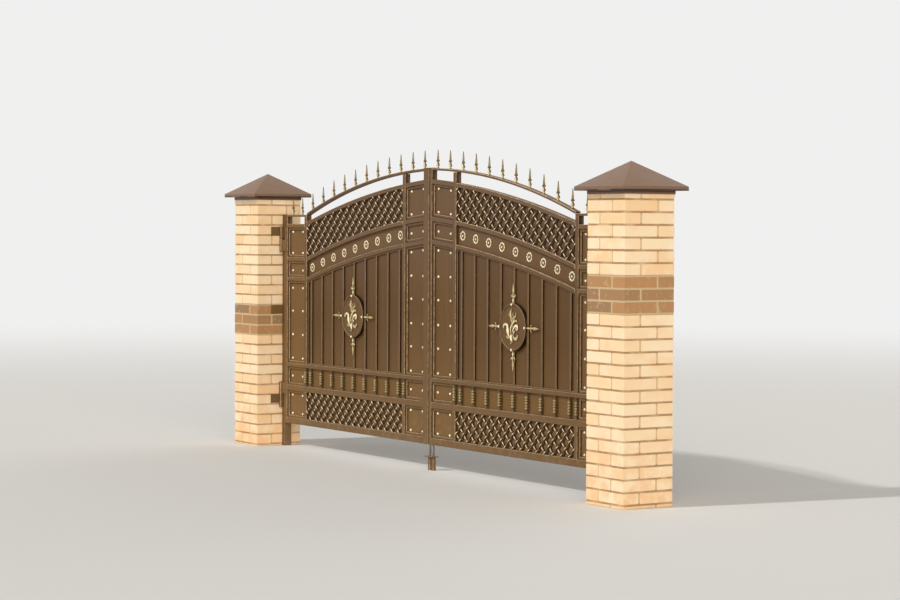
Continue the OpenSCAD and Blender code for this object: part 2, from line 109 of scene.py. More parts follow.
class Finish:
    """The shader of one surface, built up on a Principled skin."""

    def __init__(self, name):
        self.material = bpy.data.materials.new(name)
        self.material.use_nodes = True
        self.tree = self.material.node_tree
        self.tree.nodes.clear()
        self.skin = self.tree.nodes.new("ShaderNodeBsdfPrincipled")
        self.end = self.tree.nodes.new("ShaderNodeOutputMaterial")
        self.tree.links.new(self.skin.outputs[0], self.end.inputs[0])
        self.place = self.node("ShaderNodeTexCoord", {}, {}, "Object")

    def node(self, kind, settings, sockets, out=0):
        made = self.tree.nodes.new(kind)
        for key, value in settings.items():
            setattr(made, key, value)
        for key, value in sockets.items():
            self.feed(made.inputs[key], value)
        return Wire(self, made.outputs[out])

    def feed(self, socket, value):
        if isinstance(value, Wire):
            self.tree.links.new(value.socket, socket)
        elif socket.type == "RGBA" and len(value) == 3:
            socket.default_value = (*value, 1.0)
        else:
            socket.default_value = value

    def set(self, **sockets):
        for key, value in sockets.items():
            self.feed(self.skin.inputs[key.replace("_", " ")], value)
        return self.material

    def blend(self, share, first, second):
        sockets = {0: share, 6: first, 7: second}
        return self.node("ShaderNodeMix", {"data_type": "RGBA"}, sockets, 2)

    def spots(self, scale, detail=4.0, stretch=(1.0, 1.0, 1.0)):
        """Cloudy noise from 0 to 1. The scale is in spots per metre."""
        placed = self.node("ShaderNodeMapping", {}, {"Vector": self.place, "Scale": stretch})
        return self.node("ShaderNodeTexNoise", {}, {"Vector": placed, "Scale": scale, "Detail": detail})

    def along(self, axis):
        """One coordinate of the place, in metres."""
        return self.node("ShaderNodeSeparateXYZ", {}, {"Vector": self.place}, axis)

    def own(self, name):
        """A value stored on the piece's own mesh."""
        return self.node("ShaderNodeAttribute", {"attribute_name": name}, {}, "Fac")

    def facing(self, axis):
        """How far the surface looks along one axis, from -1 to 1."""
        normal = self.node("ShaderNodeTexCoord", {}, {}, "Normal")
        return self.node("ShaderNodeSeparateXYZ", {}, {"Vector": normal}, axis)

    def upward(self):
        """1 where the surface looks up, 0 where it is upright or looks down."""
        return self.facing("Z").rise(0.45, 0.95)

    def relief(self, height, depth, strength=1.0):
        """A bump of that depth in metres."""
        sockets = {"Height": height, "Distance": depth, "Strength": strength}
        return self.node("ShaderNodeBump", {}, sockets)


def edges_of(verts):
    """Every edge that meets one of the vertices, each of them once."""
    return list(dict.fromkeys(e for v in verts for e in v.link_edges))


def mesh_of(name, bm):
    """A mesh as it was built up, which is freed."""
    mesh = bpy.data.meshes.new(name)
    bm.to_mesh(mesh)
    bm.free()
    return mesh


def put_in_scene(name, data):
    thing = bpy.data.objects.new(name, data)
    bpy.context.scene.collection.objects.link(thing)
    return thing


def block(bm, low, high, edge=0.0, segments=1):
    """A block between two corners, its edges rounded over the given width."""
    low, high = Vector(low), Vector(high)
    size = Matrix.Diagonal((*(high - low), 1.0))
    made = bmesh.ops.create_cube(bm, size=1.0, matrix=Matrix.Translation((low + high) / 2) @ size)["verts"]
    if edge:
        rounded = bmesh.ops.bevel(bm, geom=edges_of(made), offset=edge, offset_type="OFFSET", affect="EDGES",
                                  segments=segments, profile=0.5, material=-1)
        made = list({v for f in rounded["faces"] for v in f.verts})
    return made


def piece(name, bm, material, slot, body, *nodes, crease=35):
    """Turns a finished mesh into a piece that rides on a body and stands for these CAD nodes."""
    bmesh.ops.recalc_face_normals(bm, faces=bm.faces)
    mesh = mesh_of(name, bm)
    mesh.materials.append(material)
    mesh.shade_smooth()
    mesh.set_sharp_from_angle(angle=math.radians(crease))
    thing = put_in_scene(name, mesh)
    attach(thing, body)
    if nodes:
        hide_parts(*nodes)


def brick_finish():
    f = Finish("facing_brick")
    tone = f.own("tone")
    height = f.along("Z")
    pale = f.blend(tone, (0.93, 0.745, 0.505), (0.90, 0.615, 0.345))
    rain = f.spots(5.0, 5.0, (1.0, 1.0, 1.8)).rise(0.52, 0.60)
    pale = f.blend(rain * 0.30, pale, (0.88, 0.56, 0.27))
    salt = f.spots(7.0, 5.0).rise(0.5, 0.68)
    pale = f.blend(salt * 0.45, pale, (0.94, 0.80, 0.60))
    foot = (1.0 - height.rise(0.05, 0.62)) * f.spots(11.0, 4.0).rise(0.4, 0.6)
    pale = f.blend(foot * 0.6, pale, (0.86, 0.50, 0.25))
    brown = f.blend(tone, (0.29, 0.175, 0.085), (0.46, 0.235, 0.095))
    brown = f.blend(f.spots(34.0, 5.0).rise(0.55, 0.72) * 0.45, brown, (0.60, 0.44, 0.25))
    colour = f.blend(f.own("band"), pale, brown)
    grain = f.spots(420.0, 3.0)
    colour = f.blend(grain.rise(0.35, 0.8) * 0.12, colour, (0.50, 0.30, 0.15))
    height_map = grain * 0.35 + f.spots(60.0, 4.0)
    return f.set(Base_Color=colour, Roughness=0.72 + grain * 0.2, Normal=f.relief(height_map, 0.0009, 0.6))


def mortar_finish():
    """Upright joints are pale. Level ones are darker brown in patches, a stain and a painted shade under the
    bricks.
    """
    f = Finish("mortar")
    sand = f.spots(900.0, 4.0)
    # Painted shade along the level joints, in patches, over a brown stain.
    stain_and_shade = f.own("course").fold(0.5).near(0.0, 0.22) * f.spots(9.0, 3.0).rise(0.2, 0.6)
    colour = f.blend(stain_and_shade * 0.8, (0.74, 0.53, 0.31), (0.36, 0.195, 0.085))
    colour = f.blend(f.own("band"), colour, (0.62, 0.47, 0.27))
    colour = f.blend(sand * 0.3, colour, (0.36, 0.24, 0.14))
    return f.set(Base_Color=colour, Roughness=0.9, Normal=f.relief(sand, 0.0012))


def lay_bricks(first_joint, band_rows, corner_along_y):
    """All the bricks of a right-hand pier, and the mortar between them, as two meshes.

    The first joint is the height of the highest one. The rows count down from the top, which is row 0."""
    bricks, joints = bmesh.new(), bmesh.new()
    tone = bricks.verts.layers.float.new("tone")
    band = bricks.verts.layers.float.new("band")
    x0, x1, y0, y1 = JAMB, JAMB + PIER, -PIER / 2, PIER / 2
    along_y = [(x0, x0 + HEADER, y0, y0 + STRETCHER), (x1 - STRETCHER, x1, y0, y0 + HEADER),
               (x1 - HEADER, x1, y1 - STRETCHER, y1), (x0, x0 + STRETCHER, y1 - HEADER, y1)]
    along_x = [(x0, x0 + STRETCHER, y0, y0 + HEADER), (x1 - HEADER, x1, y0, y0 + STRETCHER),
               (x1 - STRETCHER, x1, y1 - HEADER, y1), (x0, x0 + HEADER, y1 - STRETCHER, y1)]
    for row in range(COURSES):
        top = first_joint - COURSE * (row - 1) - JOINT / 2
        low = max(top - COURSE + JOINT, 0.001)
        for a, b, c, d in (along_y if (row % 2 == 0) == corner_along_y else along_x):
            slip = chance.uniform(0.0, 0.0012)
            lift = chance.uniform(-0.0008, 0.0008)
            made = block(bricks, (a + slip, c + slip, low + lift),
                         (b - slip, d - slip, min(top + lift, PIER_TOP - 0.002)), BRICK_EDGE)
            shade = chance.uniform(0.0, 1.0) ** 1.4
            for v in made:
                v[tone] = shade
                v[band] = 1.0 if row in band_rows else 0.0
    pale = joints.verts.layers.float.new("band")
    course = joints.verts.layers.float.new("course")
    block(joints, (x0 + RAKED, y0 + RAKED, 0.0), (x1 - RAKED, y1 - RAKED, PIER_TOP - 0.004))
    high = first_joint - COURSE * (band_rows[0] - 1) + 0.004
    foot = first_joint - COURSE * band_rows[-1] - 0.004
    for v in block(joints, (x0 + FLUSH, y0 + FLUSH, foot), (x1 - FLUSH, y1 - FLUSH, high), 0.001):
        v[pale] = 1.0
    for v in joints.verts:
        v[course] = (first_joint - v.co.z) / COURSE
    return bricks, joints


def mirrored(bm):
    """The same mesh on the left-hand side."""
    bmesh.ops.scale(bm, vec=(-1.0, 1.0, 1.0), verts=bm.verts)
    bmesh.ops.reverse_faces(bm, faces=bm.faces)
    return bm


facing_brick, mortar = brick_finish(), mortar_finish()
for side, first_joint, band_rows, corner_along_y in (("right", 1.871, (7, 8, 9), True),
                                                     ("left", 1.863, (11, 12, 13), False)):
    bricks, joints = lay_bricks(first_joint, band_rows, corner_along_y)
    for name, mesh, finish in (("bricks", bricks, facing_brick), ("mortar", joints, mortar)):
        if side == "left":
            mirrored(mesh)
        piece(side + "_pier_" + name, mesh, finish, "brickwork", "piers", side + "_pier")


# Pier caps.
# Each cap is folded from brown coated steel sheet: a skirt round the brickwork, an eave with an upright
# fascia and a low pyramid, lapped along the hips and held with a few rivets.
CAP_HALF = 0.250
FASCIA = 0.025
CAP_RISE = 0.159
SKIRT = PIER / 2 + 0.003
SKIRT_LOW = PIER_TOP - 0.022
CAP_RIVET = 0.004
CAP_RIVETS = ((-0.055, 0.45), (0.16, 0.12))  # across from the slope's middle line, and share of the way up


def coated_sheet_finish():
    f = Finish("coated_sheet")
    cloud = f.spots(6.0, 4.0)
    colour = f.blend(cloud, (0.152, 0.081, 0.042), (0.190, 0.105, 0.056))
    dust = f.upward() * 0.2 + f.spots(26.0, 5.0).rise(0.5, 0.75) * 0.2
    colour = f.blend(dust, colour, (0.25, 0.155, 0.092))
    height = f.along("Z")
    # Painted shadow under the eave: the top of the skirt is darkened where it looks sideways.
    eave = height.rise(PIER_TOP - 0.014, PIER_TOP - 0.006)
    eave = eave * (1.0 - height.rise(PIER_TOP + 0.0005, PIER_TOP + 0.002))
    colour = f.blend(eave * (f.facing("Z") + 0.5).rise(0.0, 0.3) * 0.85, colour, (0.030, 0.020, 0.010))
    sag = f.spots(7.0, 1.0)
    return f.set(Base_Color=colour, Roughness=0.42 + cloud * 0.15, Coat_Weight=0.15, Coat_Roughness=0.35,
                 Normal=f.relief(sag + f.spots(500.0, 2.0) * 0.01, 0.006, 0.8))


def soften(bm, width, segments=2, angle=30):
    """Rounds every edge of the mesh that is sharper than the angle."""
    sharp = [e for e in bm.edges if e.is_manifold and e.calc_face_angle() > math.radians(angle)]
    bmesh.ops.bevel(bm, geom=sharp, offset=width, offset_type="OFFSET", affect="EDGES", segments=segments,
                    profile=0.5, material=-1, clamp_overlap=True)
    return bm


def add(bm, part):
    """Puts a finished part into a bigger mesh."""
    mesh = mesh_of("part", part)
    bm.from_mesh(mesh)
    bpy.data.meshes.remove(mesh)


def stacked(centre, levels):
    """A closed square shape from its half widths and heights, from the foot up."""
    part = bmesh.new()
    turn = Matrix.Rotation(math.radians(45), 4, "Z")
    loops = []
    for half, z in levels:
        where = Matrix.Translation((centre[0], centre[1], z)) @ turn
        ring = bmesh.ops.create_circle(part, cap_ends=False, segments=4, radius=half * math.sqrt(2),
                                       matrix=where)
        loops.append(edges_of(ring["verts"]))
    for lower, upper in zip(loops, loops[1:]):
        bmesh.ops.bridge_loops(part, edges=lower + upper)
    bmesh.ops.holes_fill(part, edges=loops[0] + loops[-1])
    return part


def pair(name, make, material, slot, *nodes, body="leaf", crease=35, handed=False):
    """Makes one piece for each side. The left one is the right one mirrored. The piers are a single body.

    A handed piece isn't quite the same on both sides, so its maker is told whether it is the left one."""
    for side in ("right", "left"):
        bm = bmesh.new()
        if handed:
            make(bm, side == "left")
        else:
            make(bm)
        if side == "left":
            mirrored(bm)
        rides_on = body if body == "piers" else side + "_" + body
        stands_for = [side + "_" + node for node in nodes]
        piece(side + "_" + name, bm, material, slot, rides_on, *stands_for, crease=crease)


def make_cap(bm):
    eave = PIER_TOP + FASCIA
    middle = (JAMB + PIER / 2, 0.0)
    add(bm, soften(stacked(middle, [(SKIRT, SKIRT_LOW), (SKIRT, PIER_TOP + 0.002)]), 0.0008, 1))
    shell = stacked(middle, [(CAP_HALF - 0.010, PIER_TOP), (CAP_HALF, PIER_TOP), (CAP_HALF, eave),
                             (0.0015, eave + CAP_RISE - 0.0012)])
    add(bm, soften(shell, 0.003, 3, 12))
    hem = stacked(middle, [(CAP_HALF - 0.001, PIER_TOP + 0.0005), (CAP_HALF, PIER_TOP + 0.0015),
                           (CAP_HALF, PIER_TOP + 0.006), (CAP_HALF - 0.001, PIER_TOP + 0.007)])
    add(bm, hem)
    slope = math.atan2(CAP_RISE, CAP_HALF)
    for quarter in range(4):
        for across, up in CAP_RIVETS:
            rivet = bmesh.new()
            bmesh.ops.create_uvsphere(rivet, u_segments=12, v_segments=6, radius=CAP_RIVET)
            bmesh.ops.scale(rivet, vec=(1.0, 1.0, 0.5), verts=rivet.verts)
            place = Matrix.Rotation(math.radians(90 * quarter), 4, "Z")
            reach = CAP_HALF * (1 - up)
            place = place @ Matrix.Translation((across * (1 - up), -reach, eave + CAP_RISE * up))
            place = Matrix.Translation((*middle, 0.0)) @ place @ Matrix.Rotation(slope, 4, "X")
            rivet.transform(place)
            add(bm, rivet)


pair("cap", make_cap, coated_sheet_finish(), "brown_paint", "pier_cap", body="piers")


# Hinge posts.
# A rectangular tube stands against each jamb, welded to three plates that are built into the brick joints,
# and carries the fixed knuckle of each hinge on a short web. All of it is brushed with the gate's brown
# paint.
POST_FRONT = 0.028
POST_WIDTH = 0.040
POST_DEPTH = 0.060
POST_TOP = 1.790
PLATES = (0.332, 1.023, 1.628)
PLATE_HIGH = 0.068
PLATE_OUT = 0.102
HINGE_X = 2.140
HINGE_Y = 0.008
BARREL = 0.015
BARREL_LONG = 0.098
WEB_HALF = 0.010
LOW_HINGE = 0.399
HIGH_HINGE = 1.601
PLAY = 0.001
OUTER_PANEL = (1.776, 1.792)
TUBE_TONES = ((0.165, 0.096, 0.042), (0.128, 0.070, 0.028), (0.140, 0.083, 0.047))


def paint_finish(name, wave=0.0, tones=TUBE_TONES, recess=None, painted_shade=0.6, wear_and_highlight=1.0, shade=None):
    """Brown gate enamel: brushed, a little faded, dusty on ledges, with wear and a painted highlight on its
    edges.

    The tones are those low down, half way up and at the top, and the outer panel is paler. The recess is
    the two depths between which the sides get a near-black painted shade. The shade adds more painted shadow."""
    f = Finish(name)
    cloud = f.spots(2.4, 4.0)
    runs = f.spots(1.0, 5.0, (34.0, 34.0, 1.4))
    height = f.along("Z")
    colour = f.blend(height.rise(0.3, 1.1), tones[0], tones[1])
    colour = f.blend(height.rise(1.1, 1.7), colour, tones[2])
    colour = f.blend(abs(f.along("X")).rise(*OUTER_PANEL) * 0.7, colour, (0.195, 0.110, 0.044))
    colour = f.blend(cloud.rise(0.35, 0.7) * 0.4, colour, (0.150, 0.084, 0.034))
    colour = f.blend(runs.rise(0.5, 0.78) * 0.25, colour, (0.190, 0.116, 0.056))
    colour = f.blend(f.spots(55.0, 5.0).rise(0.6, 0.8) * 0.25, colour, (0.08, 0.044, 0.019))
    low = (1.0 - height.rise(0.12, 0.55)) * f.spots(24.0, 5.0).rise(0.42, 0.72)
    dust = f.upward() * 0.35 + low * 0.22
    colour = f.blend(dust, colour, (0.36, 0.275, 0.18))
    # Painted shade: the sides between the two depths of the recess are darkened nearly to black.
    if recess:
        depth = f.along("Y")
        inside = depth.rise(recess[0], recess[0] + 0.002) * (1.0 - depth.rise(recess[1], recess[1] + 0.001))
        sides = abs(f.facing("X")).rise(0.8, 0.95)
        colour = f.blend(inside * sides * painted_shade, colour, (0.016, 0.008, 0.004))
    # Painted shadows that the caller gives.
    if shade:
        colour = f.blend(shade(f), colour, (0.018, 0.009, 0.004))
    # Painted highlight, partly wear: the chamfers that face the street are paler, those that look down are
    # left out.
    edge = abs(f.facing("Y")).near(0.707, 0.12) * (f.facing("Z") + 0.7).rise(0.0, 0.3)
    colour = f.blend(edge * (0.2 + f.spots(45.0, 4.0).rise(0.4, 0.6) * 0.5) * wear_and_highlight, colour, (0.56, 0.42, 0.26))
    rough = 0.46 + cloud * 0.12 + dust * 0.3
    peel = f.spots(330.0, 2.0)
    ripple = peel * 0.02 + runs * 0.06
    if wave:
        ripple = ripple + f.spots(2.6, 1.0, (1.0, 1.0, 0.6)) * wave
    return f.set(Base_Color=colour, Roughness=rough, Specular_IOR_Level=0.14,
                 Normal=f.relief(ripple, 0.004, 0.8))


def turned(profile, steps=16):
    """A closed turned shape round the Z axis, from its radii and heights."""
    part = bmesh.new()
    line = [part.verts.new((r, 0.0, z)) for r, z in profile]
    edges = [part.edges.new(ends) for ends in zip(line, line[1:])]
    bmesh.ops.spin(part, geom=line + edges, cent=(0, 0, 0), axis=(0, 0, 1), angle=math.tau, steps=steps,
                   use_merge=True, use_duplicate=False)
    bmesh.ops.remove_doubles(part, verts=part.verts, dist=1e-6)
    return part


def moved(part, x, y, z):
    bmesh.ops.translate(part, vec=(x, y, z), verts=part.verts)
    return part


def barrel(z):
    r, e, h = BARREL, 0.0015, BARREL_LONG
    profile = [(0.0, 0.0), (r - e, 0.0), (r, e), (r, h - e), (r - e, h), (0.0, h)]
    return moved(turned(profile, 28), HINGE_X, HINGE_Y, z)


def weld(bm, x, y, low, high, size=0.003):
    """A rippled weld bead that runs upright."""
    count = max(2, int((high - low) / (size * 0.9)))
    for k in range(count):
        drop = bmesh.new()
        bmesh.ops.create_icosphere(drop, subdivisions=1, radius=size)
        add(bm, moved(drop, x, y, low + (high - low) * (k + 0.5) / count))


def make_post(bm):
    jamb = JAMB - 0.0002
    block(bm, (JAMB - POST_WIDTH, POST_FRONT, 0.0), (jamb, POST_FRONT + POST_DEPTH, POST_TOP), 0.003, 3)
    for z in PLATES:
        block(bm, (JAMB - 0.004, POST_FRONT - PLATE_OUT, z),
              (jamb, POST_FRONT + 0.0012, z + PLATE_HIGH), 0.001)
        weld(bm, JAMB - 0.0045, POST_FRONT - 0.0015, z + 0.004, z + PLATE_HIGH - 0.004)
    for z in (LOW_HINGE - PLAY - BARREL_LONG, HIGH_HINGE + PLAY):
        add(bm, barrel(z))
        low = (HINGE_X - WEB_HALF, HINGE_Y + 0.010, z + 0.006)
        block(bm, low, (HINGE_X + WEB_HALF, POST_FRONT + 0.001, z + BARREL_LONG - 0.006), 0.001)
        for x in (HINGE_X - WEB_HALF - 0.0005, HINGE_X + WEB_HALF + 0.0005):
            weld(bm, x, POST_FRONT - 0.001, z + 0.010, z + BARREL_LONG - 0.010, 0.0025)


post_paint = paint_finish("post_paint")
pair("hinge_post", make_post, post_paint, "brown_paint", "post", body="piers")


# Hinge pins.
# Plain round steel pins, pressed into the fixed knuckles. They stay the CAD pins, greased and dull.
def steel_finish():
    f = Finish("dull_steel")
    wear = f.spots(90.0, 4.0, (1.0, 1.0, 0.15))
    colour = f.blend(wear, (0.20, 0.17, 0.145), (0.36, 0.33, 0.30))
    rust = f.spots(40.0, 5.0).rise(0.55, 0.75)
    colour = f.blend(rust * 0.6, colour, (0.19, 0.085, 0.035))
    return f.set(Base_Color=colour, Metallic=0.85 - rust * 0.6, Roughness=0.38 + rust * 0.35,
                 Normal=f.relief(wear, 0.0004))


def repaint(node, material):
    """Gives the CAD pieces of both sides another finish."""
    for side in ("right", "left"):
        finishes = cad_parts[side + "_" + node].data.materials
        finishes.clear()
        finishes.append(material)


dull_steel = steel_finish()
repaint("hinge_pins", dull_steel)


# Ground keep.
# A steel plate with two short tubes welded under it takes the drop bolts when the gate is shut. In use it is
# set in up to its plate.
BOLT_Y = 0.044
BOLT_SIDE = 0.022
GAP = 0.008  # the joint between the leaves lies this far right of the middle
KEEP_TOP = 0.100
KEEP_HALF = 0.055
KEEP_FRONT = BOLT_Y - 0.036
KEEP_BACK = BOLT_Y + 0.024
SOCKET = (0.012, 0.016)
SOCKET_FLOOR = 0.010
HOLE_HALF = 0.0145


def ring_tube(inner, outer, low, high):
    """A closed upright tube."""
    e = 0.0008
    profile = [(inner, low), (outer - e, low), (outer, low + e), (outer, high - e), (outer - e, high),
               (inner, high), (inner, low)]
    return turned(profile, 24)


def make_keep(bm):
    plug = [(0.0, 0.0), (0.0135, 0.0), (0.0135, SOCKET_FLOOR), (0.0, SOCKET_FLOOR)]
    for u in (GAP - BOLT_SIDE, GAP + BOLT_SIDE):
        add(bm, moved(ring_tube(*SOCKET, 0.0, KEEP_TOP), u, BOLT_Y, 0.0))
        add(bm, moved(turned(plug, 16), u, BOLT_Y, 0.0))
    low, high = KEEP_TOP - 0.006, KEEP_TOP - 0.0002
    lap = HOLE_HALF - 0.0003
    for y0, y1 in ((KEEP_FRONT, BOLT_Y - lap), (BOLT_Y + lap, KEEP_BACK)):
        block(bm, (GAP - KEEP_HALF, y0, low), (GAP + KEEP_HALF, y1, high), 0.001)
    for u0, u1 in ((-KEEP_HALF, -BOLT_SIDE - HOLE_HALF), (HOLE_HALF - BOLT_SIDE, BOLT_SIDE - HOLE_HALF),
                   (BOLT_SIDE + HOLE_HALF, KEEP_HALF)):
        block(bm, (GAP + u0, BOLT_Y - HOLE_HALF, low), (GAP + u1, BOLT_Y + HOLE_HALF, high), 0.0004)


keep = bmesh.new()
make_keep(keep)
piece("keep_plate", keep, post_paint, "brown_paint", "piers", "ground_keep")


# Stiles.
# Square and rectangular tube, mitred and welded. The hinge stile and the meeting stile run the whole height,
# the two stiles beside the barred panel step back behind the baluster rails. All distances are from the
# middle.
FRONT = 0.013
BACK = 0.057
SHEET = 0.036
PANEL = 0.042
INNER_END = 0.315
MAIN = 0.351
MAIN_END = 1.748
OUTER = 1.784
OUTER_END = 2.053
LEAF_END = 2.100
LEAF_FOOT = 0.182
FOOT_TOP = 0.230
LOW_RAIL = (0.436, 0.480)
MID_RAIL = (0.620, 0.650)
FLAT_TOP = 1.781
TOP_BAR = 0.016
TUBE_EDGE = 0.0025
ARCH_START = 0.150
HALF_GAP = 0.004
SLOT_LOW = 0.420
SLOT_HIGH = 0.580
SLOT_HALF = 0.006


def arch(high, low, bow):
    """The circle of an arch, from its heights at both ends and its bow: middle along, middle up, radius."""
    run, drop = MAIN_END - ARCH_START, low - high
    chord = math.hypot(run, drop)
    r = chord * chord / (8 * bow) + bow / 2
    middle_along = (ARCH_START + MAIN_END) / 2 + (r - bow) * drop / chord
    middle_up = (high + low) / 2 - (r - bow) * run / chord
    return middle_along, middle_up, r


def arch_z(circle, u):
    return circle[1] + math.sqrt(circle[2] ** 2 - (u - circle[0]) ** 2)


TOP_ARCH = arch(2.096, 1.793, 0.058)
MEETING_TOP = arch_z(TOP_ARCH, PANEL) + 0.012


def joint_at(left):
    """Where the joint between the leaves lies, on this leaf's own side of the middle."""
    return -GAP if left else GAP


def cut(bm, where, way, clear=True):
    """Cuts a mesh along a plane, then clears what the plane looks at and closes the hole, or keeps it all."""
    geom = bm.verts[:] + bm.edges[:] + bm.faces[:]
    bmesh.ops.bisect_plane(bm, geom=geom, dist=1e-7, plane_co=where, plane_no=way, clear_outer=clear)
    if clear:
        bmesh.ops.holes_fill(bm, edges=[e for e in bm.edges if e.is_boundary])


def knob_slot(bm, u):
    """The long hole at the back of the meeting stile, in which the bolt's knob slides."""
    for where, way in (((u - SLOT_HALF, 0, 0), (1, 0, 0)), ((u + SLOT_HALF, 0, 0), (1, 0, 0)),
                       ((0, 0, SLOT_LOW), (0, 0, 1)), ((0, 0, SLOT_HIGH), (0, 0, 1))):
        cut(bm, where, way, clear=False)
    middle = Vector((u, BACK, (SLOT_LOW + SLOT_HIGH) / 2))
    face = min(bm.faces, key=lambda f: (f.calc_center_median() - middle).length)
    pushed = bmesh.ops.extrude_discrete_faces(bm, faces=[face])["faces"]
    bmesh.ops.translate(bm, vec=(0, -0.038, 0), verts=pushed[0].verts)


def make_stiles(bm, left):
    meeting = bmesh.new()
    block(meeting, (joint_at(left) + HALF_GAP, FRONT, LEAF_FOOT), (PANEL, BACK, MEETING_TOP), 0.002)
    knob_slot(meeting, joint_at(left) + BOLT_SIDE)
    add(bm, meeting)
    block(bm, (OUTER_END, FRONT, LEAF_FOOT), (LEAF_END, BACK, FLAT_TOP + TOP_BAR / 2), TUBE_EDGE)
    middle_stiles = ((INNER_END, MAIN, arch_z(TOP_ARCH, MAIN) - 0.009), (MAIN_END, OUTER, FLAT_TOP - 0.008))
    for u0, u1, high in middle_stiles:
        block(bm, (u0, FRONT, MID_RAIL[1]), (u1, BACK, high), TUBE_EDGE)
        block(bm, (u0, FRONT, FOOT_TOP), (u1, BACK, LOW_RAIL[0]), TUBE_EDGE)
        block(bm, (u0, SHEET, LOW_RAIL[0] - 0.004), (u1, BACK, MID_RAIL[1] + 0.004), 0.0015)


gate_paint = paint_finish("gate_paint", recess=(FRONT - 0.001, SHEET))
pair("stile_tubes", make_stiles, gate_paint, "brown_paint", "stiles", crease=25, handed=True)


# Cover strip.
# A flat steel bar, spot-welded down the face of the left leaf's meeting stile, right up to the joint between
# the leaves. It stays clear of the right leaf, and has the frame's brown paint.
STRIP_END = 0.063
strip = bmesh.new()
block(strip, (HALF_GAP - GAP, FRONT - 0.003, LEAF_FOOT), (STRIP_END, FRONT - 0.0001, MEETING_TOP), 0.001)
piece("left_strip", mirrored(strip), post_paint, "brown_paint", "left_leaf", "left_cover_strip")


# Rails.
# Flat tube rails that run across the leaf in front of the sheet: the bottom rail, one over the lower
# lattice, one over the balusters, and the two short straight ones that carry on the lower arches in the
# outer panel.
ARCH_BAR = 0.029
FOURTH_LOW = 1.296
THIRD_LOW = 1.449


def make_rails(bm):
    half = ARCH_BAR / 2
    block(bm, (PANEL, FRONT, LEAF_FOOT), (OUTER_END, BACK, FOOT_TOP), TUBE_EDGE)
    for low, high in (LOW_RAIL, MID_RAIL):
        block(bm, (PANEL, FRONT, low), (OUTER_END, SHEET, high), TUBE_EDGE)
    for z in (FOURTH_LOW, THIRD_LOW):
        block(bm, (OUTER, FRONT, z - half), (OUTER_END, SHEET, z + half), TUBE_EDGE)


pair("rail_tubes", make_rails, gate_paint, "brown_paint", "rails", crease=25)


# Arches.
# Four bars rolled to big radii. The thin top one carries the finials over an open slot, the other three
# divide the sheet, and in the outer panel the upper two go on level to the hinge stile.
SECOND = arch(2.006, 1.718, 0.037)
THIRD = arch(1.748, THIRD_LOW, 0.038)
FOURTH = arch(1.586, FOURTH_LOW, 0.034)
FLAT_SECOND = 1.704


def rolled(circle, low, high, u0, u1, y0, y1, edge=0.003):
    """A curved rectangular bar along an arch. It is made a little too long, then cut upright at both ends."""
    part = bmesh.new()
    cu, cz, r = circle
    a0, a1 = (math.acos((u - cu) / (r + low)) for u in (u0 - 0.03, u1 + 0.03))
    steps = max(3, round((u1 - u0) / 0.028))
    ring = [part.verts.new((cu + rr * math.cos(a0), y, cz + rr * math.sin(a0)))
            for rr, y in ((r + low, y0), (r + high, y0), (r + high, y1), (r + low, y1))]
    edges = [part.edges.new((ring[k], ring[(k + 1) % 4])) for k in range(4)]
    bmesh.ops.spin(part, geom=ring + edges, cent=(cu, 0, cz), axis=(0, 1, 0), angle=a0 - a1, steps=steps,
                   use_duplicate=False)
    for u, side in ((u0, -1), (u1, 1)):
        cut(part, (u, 0, 0), (side, 0, 0))
    bmesh.ops.recalc_face_normals(part, faces=part.faces)
    return soften(part, edge, 1)


def make_top_arch(bm):
    half = TOP_BAR / 2
    add(bm, rolled(TOP_ARCH, -half, half, PANEL, MAIN_END, FRONT, BACK))
    block(bm, (MAIN_END, FRONT, FLAT_TOP - half), (OUTER_END, BACK, FLAT_TOP + half), TUBE_EDGE)


def make_arches(bm):
    half = ARCH_BAR / 2
    for circle, depth in ((SECOND, BACK), (THIRD, SHEET), (FOURTH, SHEET)):
        add(bm, rolled(circle, -half, half, PANEL, INNER_END, FRONT, depth))
        add(bm, rolled(circle, -half, half, MAIN, MAIN_END, FRONT, depth))
    block(bm, (OUTER, FRONT, FLAT_SECOND - half), (OUTER_END, BACK, FLAT_SECOND + half), TUBE_EDGE)


# The arches get a stronger painted highlight, partly wear, along their chamfers.
arch_paint = paint_finish("arch_paint", recess=(FRONT - 0.001, SHEET), wear_and_highlight=1.7)
pair("top_arch_bar", make_top_arch, arch_paint, "brown_paint", "top_arch", crease=25)
pair("arch_bars", make_arches, arch_paint, "brown_paint", "arches", crease=25)


# Backing sheet.
# Smooth two-millimetre steel sheet behind all three bays, slightly wavy as welded sheet is, with painted
# shadows below the lattice wires and behind the disc, and painted shade in the barred bay. It stays the CAD
# sheet, tacked to the tubes along its back.
SHEET_TONES = ((0.190, 0.105, 0.037), (0.118, 0.060, 0.021), (0.138, 0.079, 0.041))
BAY_MIDDLE = (MAIN + MAIN_END) / 2
DISC_U = 1.0495
DISC_Z = 1.040
DISC_R = 0.157
PITCH = 0.092
UPPER_MIDDLE = 1.730
LOWER_MIDDLE = (FOOT_TOP + LOW_RAIL[0]) / 2
# the painted shadows lie this far below the wires
SHADOW_DROP = 0.009
TACKS = 7


